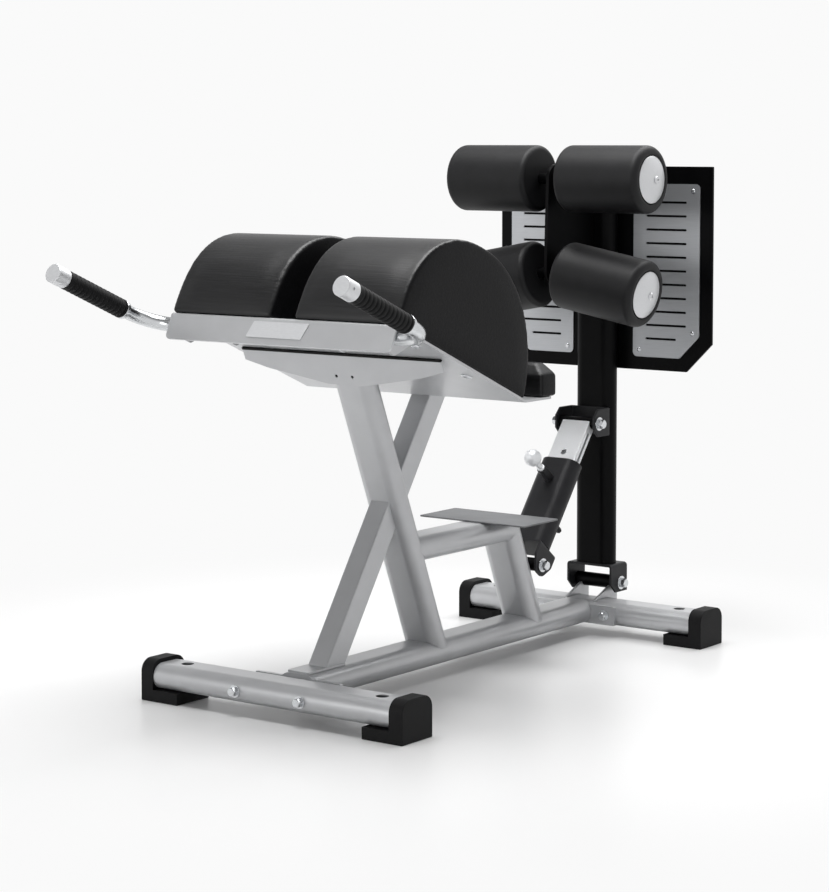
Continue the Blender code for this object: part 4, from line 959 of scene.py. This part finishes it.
def makeFootBoard():
    b = board
    top = machine["mastTop"] - b["topDrop"]
    bottom = top - b["height"]
    half, shoulder = b["halfWidth"], bottom + b["chamferZ"]
    inner = half - b["chamferX"]
    corners = [(half, top), (-half, top), (-half, shoulder), (-inner, bottom), (inner, bottom),
               (half, shoulder)]
    outline = roundCorners(corners, [b["corner"]] * 6, 15)
    middle = Vector((0, mastRear + clearance + b["thickness"] / 2, 0))
    piece = prism("fine_foot_board", [outline], b["thickness"], placeAt(middle, xWay, zWay))
    softenEdges(piece, b["edge"], 3)
    keepPiece(piece, blackPaint, "mast", "foot_board", slot="black_paint")


tread = {"inner": 0.0945, "outer": 0.296, "topDrop": 0.051, "height": 0.4585, "thickness": 0.003,
         "corner": 0.013, "chamfer": 0.059, "edge": 0.0006, "slotInner": 0.1335, "slotOuter": 0.2566,
         "slotHeight": 0.006, "slotFirst": 0.0483, "slotPitch": 0.0361, "slots": 11, "lastSlotCut": 0.030,
         "screws": ((0.276, 1.1765), (0.276, 0.803), (0.113, 0.754), (0.113, 1.1765)),
         "screwRadius": 0.0058, "screwHeight": 0.0030, "screwWasher": 0.0066}


def makeTread(sideName, side):
    t = tread
    top = machine["mastTop"] - t["topDrop"]
    bottom = top - t["height"]
    corners = [(t["outer"], top), (t["inner"], top), (t["inner"], bottom),
               (t["outer"] - t["chamfer"], bottom), (t["outer"], bottom + t["chamfer"])]
    loops = [roundCorners(corners, [t["corner"]] * 5)]
    for row in range(t["slots"]):
        height = top - t["slotFirst"] - row * t["slotPitch"]
        end = t["slotOuter"] - (t["lastSlotCut"] if row == t["slots"] - 1 else 0)
        low, high = height - t["slotHeight"] / 2, height + t["slotHeight"] / 2
        slot = [(end, high), (t["slotInner"], high), (t["slotInner"], low), (end, low)]
        loops.append(roundCorners(slot, [t["slotHeight"] * 0.48] * 4, 22.5))
    loops = [[(side * x, z) for x, z in loop] for loop in loops]
    middle = Vector((0, mastRear - t["thickness"] / 2, 0))
    piece = prism("fine_tread_" + sideName, loops, t["thickness"], placeAt(middle, xWay, zWay))
    softenEdges(piece, t["edge"])
    keepPiece(piece, brushedSheet, "mast", "tread_" + sideName, slot="aluminium")
    screws = [domeBolt("screw", Vector((side * x, mastRear - t["thickness"], z)), -yWay,
                       t["screwRadius"], t["screwHeight"], t["screwWasher"]) for x, z in t["screws"]]
    keepPiece(joined("tread_screws_" + sideName, screws), boltPlating, "mast", slot="plated_steel")


makeFootBoard()
for sideName, side in sides:
    makeTread(sideName, side)
print("mast and foot board made")


# Ankle rollers

roller = {"radius": 0.087, "innerShoulder": 0.014, "shoulderLength": 0.018, "shoulderDepth": 0.019,
          "plateThickness": 0.010, "plateRadius": 0.0375, "plateEdge": 0.0012, "bore": 0.0151,
          "upperDrop": 0.036, "upperLead": 0.178, "lowerDrop": 0.276, "lowerLead": 0.186, "droop": 10.4,
          "upperInner": 0.044, "upperOuter": 0.2935, "lowerInner": 0.040, "lowerOuter": 0.2885,
          "recess": 0.009, "capRadius": 0.0608, "capGap": 0.0008, "capRim": 0.0085, "capRise": 0.0125,
          "discRadius": 0.0602, "crownRadius": 0.0592, "lipHeight": 0.001, "ringDrop": 0.002,
          "hubRadius": 0.0095, "hubHeight": 0.0045, "hubSunk": 0.0005, "socketRadius": 0.0030,
          "socketDepth": 0.003}
upperAxle = Vector((0, mastFront - roller["upperLead"], machine["mastTop"] - roller["upperDrop"]))
lowerAxle = Vector((0, mastFront - roller["lowerLead"], machine["mastTop"] - roller["lowerDrop"]))


def makeRollerPlate():
    r = roller
    run = upperAxle.yz - lowerAxle.yz
    lean = math.degrees(math.atan2(run.x, run.y))
    face, radius = mastFront - clearance, r["plateRadius"]
    outline = [(face, lowerAxle.z - radius), (face, upperAxle.z + radius)]
    outline += arc(radius, 90, 180 - lean, 16, upperAxle.yz) + arc(radius, 180 - lean, 270, 16, lowerAxle.yz)
    plate = prism("fine_roller_plate", [outline], r["plateThickness"], placeAt(Vector(), yWay, zWay))
    softenEdges(plate, r["plateEdge"])
    keepPiece(plate, blackPaint, "mast", "roller_plate", slot="black_paint")
    for node in ("upper_axle", "lower_axle"):
        refined(node, blackPaint, "mast", 0)


def makeRoller(label, centre, way, inner, outer):
    # A foam sleeve whose full outer end swells round the sunk, domed aluminium cap
    r = roller
    place = placeAt(centre, yWay, way.cross(yWay))
    recess = r["capRadius"] + r["capGap"]
    base = outer - r["recess"]
    crest = r["radius"] - r["shoulderDepth"]
    lip = crest - recess
    profile = [(r["bore"], base), (recess, base)] + arc(lip, 180, 90, 8, (crest, outer - lip))
    profile += [(crest + r["shoulderDepth"] * x, outer - r["shoulderLength"] * (1 - y))
                for x, y in arc(1, 90, 0, 16)[1:]]
    section = [(r["radius"], outer), (r["radius"], inner), (r["bore"], inner), (r["bore"], outer)]
    profile += roundCorners(section, [0, r["innerShoulder"], 0, 0], 6)[1:-1]
    sleeve = turned("fine_roller_" + label, profile, place, 96, closed=True)
    body = "roller_" + label
    keepPiece(sleeve, foamSkin, body, body, slot="foam", smoothAngle=60)

    base += clearance
    rim = base + r["capRim"]
    crown = rim + r["capRise"]
    hub, socket, disc = r["hubRadius"], r["socketRadius"], r["discRadius"]
    top = crown + r["hubHeight"]
    floor = top - r["socketDepth"]
    profile = [(0, floor), (socket, floor), (socket, top), (hub * 0.55, top), (hub * 0.85, top - 0.001),
               (hub, floor), (hub, crown - r["hubSunk"])]
    for k in range(1, 17):
        share = k / 16
        profile.append((hub + share * (r["crownRadius"] - hub), crown - r["capRise"] * share ** 2))
    under = rim - r["ringDrop"]
    profile += [(disc, rim - r["lipHeight"]), (disc, under), (0, under)]
    cap = turned("fine_roller_cap_" + label, profile, place, 96)
    keepPiece(cap, turnedAluminium, body, "roller_cap_" + label, slot="aluminium")
    # The cap's side wall is a ring of its own. The rim is real, and its black is painted shade for the
    # groove between the cap and the foam
    bore = disc - r["ringDrop"]
    profile = [(bore, under), (r["capRadius"], under), (r["capRadius"], base), (bore, base)]
    ring = turned("cap_shade_ring_" + label, profile, place, 96, closed=True)
    keepPiece(ring, blackPaint, body, slot="black_paint")


makeRollerPlate()
droop = math.radians(roller["droop"])
for sideName, side in sides:
    makeRoller("upper_" + sideName, upperAxle, xWay * side, roller["upperInner"], roller["upperOuter"])
    makeRoller("lower_" + sideName, lowerAxle, Vector((side * math.cos(droop), 0, -math.sin(droop))),
               roller["lowerInner"], roller["lowerOuter"])
print("rollers made")


# Strut

strut = {"standoff": 0.0249, "innerWidth": 0.086, "innerDepth": 0.030, "innerStart": 0.105,
         "innerWall": 0.004, "innerEdge": 0.003, "innerSoft": 0.0005, "slack": 0.0004,
         "holeRadius": 0.008, "holePitch": 0.030, "holesUp": 3, "holesDown": 2,
         "slotWidth": 0.009, "slotStart": 0.290, "slotEnd": 0.400,
         "outerWidth": 0.114, "outerDepth": 0.060, "outerEnd": 0.302, "outerSoft": 0.0008, "web": 0.051,
         "pinAlong": 0.2387, "bossRadius": 0.0125, "bossEnd": 0.078, "bossSunk": 0.001, "bossEdge": 0.0012,
         "pinRadius": 0.007, "pinGap": 0.0012, "neckRadius": 0.008, "flangeRadius": 0.010,
         "knobRadius": 0.0225, "knobCentre": 0.129,
         "screwAlong": 0.125, "screwInset": 0.018, "screwFlats": 0.01376, "screwHeight": 0.013,
         "topSleeve": 0.015, "topSleeveBore": 0.0086, "topSleeveHalf": 0.055, "halfWidth": 0.060}
rearLegPoint = legPoint(machine["strutBottomZ"], machine["rearLegFootY"])
strutBottom = rearLegPoint + yWay * (machine["tubeDepth"] / 2 + strut["standoff"]) / math.cos(leanTurn)
strutUp = (strutTop - strutBottom).normalized()
strutOut = Vector((0, -strutUp.z, strutUp.y))
strutLength = (strutTop - strutBottom).length


def strutPoint(along, out=0.0, x=0.0):
    return strutBottom + x * xWay + along * strutUp + out * strutOut


def makeStrutOuter():
    # The lower tube on its fork, with the pull pin's boss and a clamp screw
    s = strut
    refined("strut_fork", graphitePaint, "strut_outer", 0.0012)
    makePivotBolt("strut_bottom_bolt", strutBottom, s["halfWidth"], "strut_outer")
    mouth = boxLoop(s["innerWidth"] + 2 * s["slack"], s["innerDepth"] + 2 * s["slack"], 0.002, 30)
    outer = bar("tube", [flatOvalLoop(0, s["outerWidth"], s["outerDepth"]), mouth],
                strutPoint(s["web"] + clearance), strutPoint(s["outerEnd"]))
    pin, bore = s["pinAlong"], s["pinRadius"] + s["slack"]
    drill(outer, strutPoint(pin), strutPoint(pin, s["outerDepth"]), bore)
    softenEdges(outer, s["outerSoft"])
    boss = bar("boss", [circleLoop(s["bossRadius"]), circleLoop(bore)],
               strutPoint(pin, s["outerDepth"] / 2 - s["bossSunk"]), strutPoint(pin, s["bossEnd"]))
    softenEdges(boss, s["bossEdge"], 3)
    inWall = (s["innerDepth"] + s["outerDepth"]) / 4
    screwX = s["outerWidth"] / 2 - s["screwInset"]
    screw = bar("screw", [hexLoop(s["screwFlats"])], strutPoint(s["screwAlong"], -inWall, screwX),
                strutPoint(s["screwAlong"], -s["outerDepth"] / 2 - s["screwHeight"], screwX))
    softenEdges(screw, s["outerSoft"])
    keepPiece(joined("fine_strut_outer", [outer, boss, screw]), graphitePaint, "strut_outer", "strut_outer",
              slot="black_paint")


def makeStrutInner():
    # The plated tube with its row of pin holes and a slot in each side
    s = strut
    width, depth, wall = s["innerWidth"], s["innerDepth"], s["innerWall"]
    top = strutPoint(strutLength)
    inner = bar("fine_strut_inner", [boxLoop(width, depth, s["innerEdge"], 15),
                                     boxLoop(width - 2 * wall, depth - 2 * wall, 0.001, 45)],
                strutPoint(s["innerStart"]), top)
    for k in range(-s["holesDown"], s["holesUp"] + 1):
        along = s["pinAlong"] + k * s["holePitch"]
        drill(inner, strutPoint(along, -depth), strutPoint(along, depth), s["holeRadius"])
    slot = boxLoop(s["slotWidth"], s["slotEnd"] - s["slotStart"], s["slotWidth"] * 0.49, 22.5)
    middle = strutPoint((s["slotStart"] + s["slotEnd"]) / 2)
    combine(inner, prism("slot", [slot], 2 * width, placeAt(middle, strutOut, strutUp)))
    drill(inner, top - xWay * width, top + xWay * width, s["topSleeve"] + clearance, 48)
    softenEdges(inner, s["innerSoft"])
    keepPiece(inner, satinZinc, "strut_inner", "strut_inner", slot="plated_steel")
    half = xWay * s["topSleeveHalf"]
    sleeve = bar("fine_top_sleeve", [circleLoop(s["topSleeve"]), circleLoop(s["topSleeveBore"])],
                 top - half, top + half)
    softenEdges(sleeve, s["outerSoft"])
    keepPiece(sleeve, blackPaint, "strut_inner", "top_sleeve", slot="black_paint")
    refined("pivot_sleeve", blackPaint, "frame", 0.0008)


def makePullPin():
    # A plated plunger with a neck, a small flange and a polished ball
    s = strut
    base = s["bossEnd"] + clearance
    tip = s["innerDepth"] / 2 + s["pinGap"]
    neck, flange, pin = s["neckRadius"], s["flangeRadius"], s["pinRadius"]
    neckTurn = math.degrees(math.asin(neck / s["knobRadius"]))
    profile = arc(s["knobRadius"], 90, neckTurn - 90, 32, (0, s["knobCentre"]))
    profile += [(neck, base + 0.006), (flange, base + 0.005), (flange, base + 0.001), (flange - 0.001, base),
                (pin, base), (pin, tip), (0, tip)]
    pin = turned("fine_pull_pin", profile, placeAt(strutPoint(s["pinAlong"]), xWay, strutOut.cross(xWay)))
    keepPiece(pin, satinZinc, "pull_pin", "pull_pin", slot="plated_steel")


makeStrutOuter()
makeStrutInner()
makePullPin()
print("strut made")


# Stage: a white floor that fades into a white room, soft lights and the camera

stage = {"floorSize": 60, "fadeStart": 0.80, "fadeEnd": 2.0, "nearShare": 0.02, "white": "#fafafa",
         "floorColour": "#e2e2e2", "floorRoughness": 0.35, "floorGloss": 0.3,
         "worldStrength": 0.15, "ceilingStart": 0.20, "ceilingEnd": 0.75, "ceilingShade": 0.30,
         "cameraPlace": (3.5809, -4.2698, 1.3099), "turn": 36.552, "pitch": 3.943,
         "focal": 2502.0, "frameHeight": 892, "sensor": 36, "shift": -0.15, "reach": 100,
         "lamps": (("back", (0.3, 3.2, 4.2), (0.0, 0.4, 0.2), 2.8, 130),
                   ("top", (-0.2, 0.4, 4.6), (0.0, 0.4, 0.4), 2.8, 232),
                   ("front", (-1.4, -4.2, 1.6), (0.0, 0.5, 0.5), 2.0, 36))}


def seenShare(tree):
    # 1 for rays that come straight from the camera or by way of a shiny or clear surface, else 0
    light = addNode(tree, "LightPath")
    share = light.outputs["Is Camera Ray"]
    for ray in ("Is Glossy Ray", "Is Transmission Ray"):
        share = addNode(tree, "Math", {"operation": "ADD", "use_clamp": True},
                        {0: share, 1: light.outputs[ray]}).outputs[0]
    return share


def makeFloor():
    s = stage
    shape = bmesh.new()
    bmesh.ops.create_grid(shape, x_segments=1, y_segments=1, size=s["floorSize"] / 2)
    floor = meshPiece("floor", shape)
    # Lit matt white near the machine, so that it shows shadows, and glowing white further out
    material, tree, place = startMaterial("white_studio_floor")
    distance = addNode(tree, "VectorMath", {"operation": "LENGTH"}, {0: place})
    fade = valueBetween(tree, distance.outputs["Value"], s["nearShare"], 1.0, s["fadeStart"], s["fadeEnd"],
                        "SMOOTHSTEP")
    share = addNode(tree, "Math", {"operation": "MULTIPLY"}, {0: fade, 1: seenShare(tree)})
    matt = addNode(tree, "BsdfPrincipled", {"Base Color": colourOf(s["floorColour"]),
                                            "Roughness": s["floorRoughness"],
                                            "Specular IOR Level": s["floorGloss"]})
    bright = addNode(tree, "Emission", {"Color": colourOf(s["white"]), "Strength": 1.0})
    mix = addNode(tree, "MixShader", None, {0: share.outputs[0], 1: matt.outputs[0], 2: bright.outputs[0]})
    addNode(tree, "OutputMaterial", None, {"Surface": mix.outputs[0]})
    floor.data.materials.append(material)


def makeRoom():
    # White where it is seen, with a dimmer ceiling in reflections, and faint as a light
    s = stage
    world = bpy.data.worlds.new("white_room")
    world.use_nodes = True
    tree = world.node_tree
    tree.nodes.clear()
    dim = addNode(tree, "Background", {"Color": colourOf(s["white"]), "Strength": s["worldStrength"]})
    way = addNode(tree, "SeparateXYZ", None, {"Vector": addNode(tree, "TexCoord").outputs["Generated"]})
    ceiling = valueBetween(tree, way.outputs["Z"], 1.0, s["ceilingShade"], s["ceilingStart"],
                           s["ceilingEnd"], "SMOOTHSTEP")
    full = addNode(tree, "Background", {"Color": colourOf(s["white"])}, {"Strength": ceiling})
    mix = addNode(tree, "MixShader", None, {0: seenShare(tree), 1: dim.outputs[0], 2: full.outputs[0]})
    addNode(tree, "OutputWorld", None, {"Surface": mix.outputs[0]})
    bpy.context.scene.world = world


def aim(holder, place, way):
    holder.location = place
    holder.rotation_euler = way.to_track_quat("-Z", "Y").to_euler()


def makeLamps():
    for name, place, target, size, power in stage["lamps"]:
        lamp = bpy.data.lights.new(name + "_softbox", "AREA")
        lamp.shape = "SQUARE"
        lamp.size = size
        lamp.energy = power
        aim(linked(lamp.name, lamp), slide @ Vector(place), Vector(target) - Vector(place))


def makeCamera():
    s = stage
    camera = bpy.data.cameras.new("camera")
    camera.sensor_width = s["sensor"]
    camera.lens = s["focal"] / s["frameHeight"] * s["sensor"]
    camera.shift_y = s["shift"]
    camera.clip_end = s["reach"]
    turn, pitch = math.radians(s["turn"]), math.radians(s["pitch"])
    gaze = Vector((-math.sin(turn) * math.cos(pitch), math.cos(turn) * math.cos(pitch), -math.sin(pitch)))
    holder = linked("camera", camera)
    aim(holder, slide @ Vector(s["cameraPlace"]), gaze)
    bpy.context.scene.camera = holder
    bpy.context.scene.view_settings.view_transform = "Standard"


makeFloor()
makeRoom()
makeLamps()
makeCamera()
print("stage set")
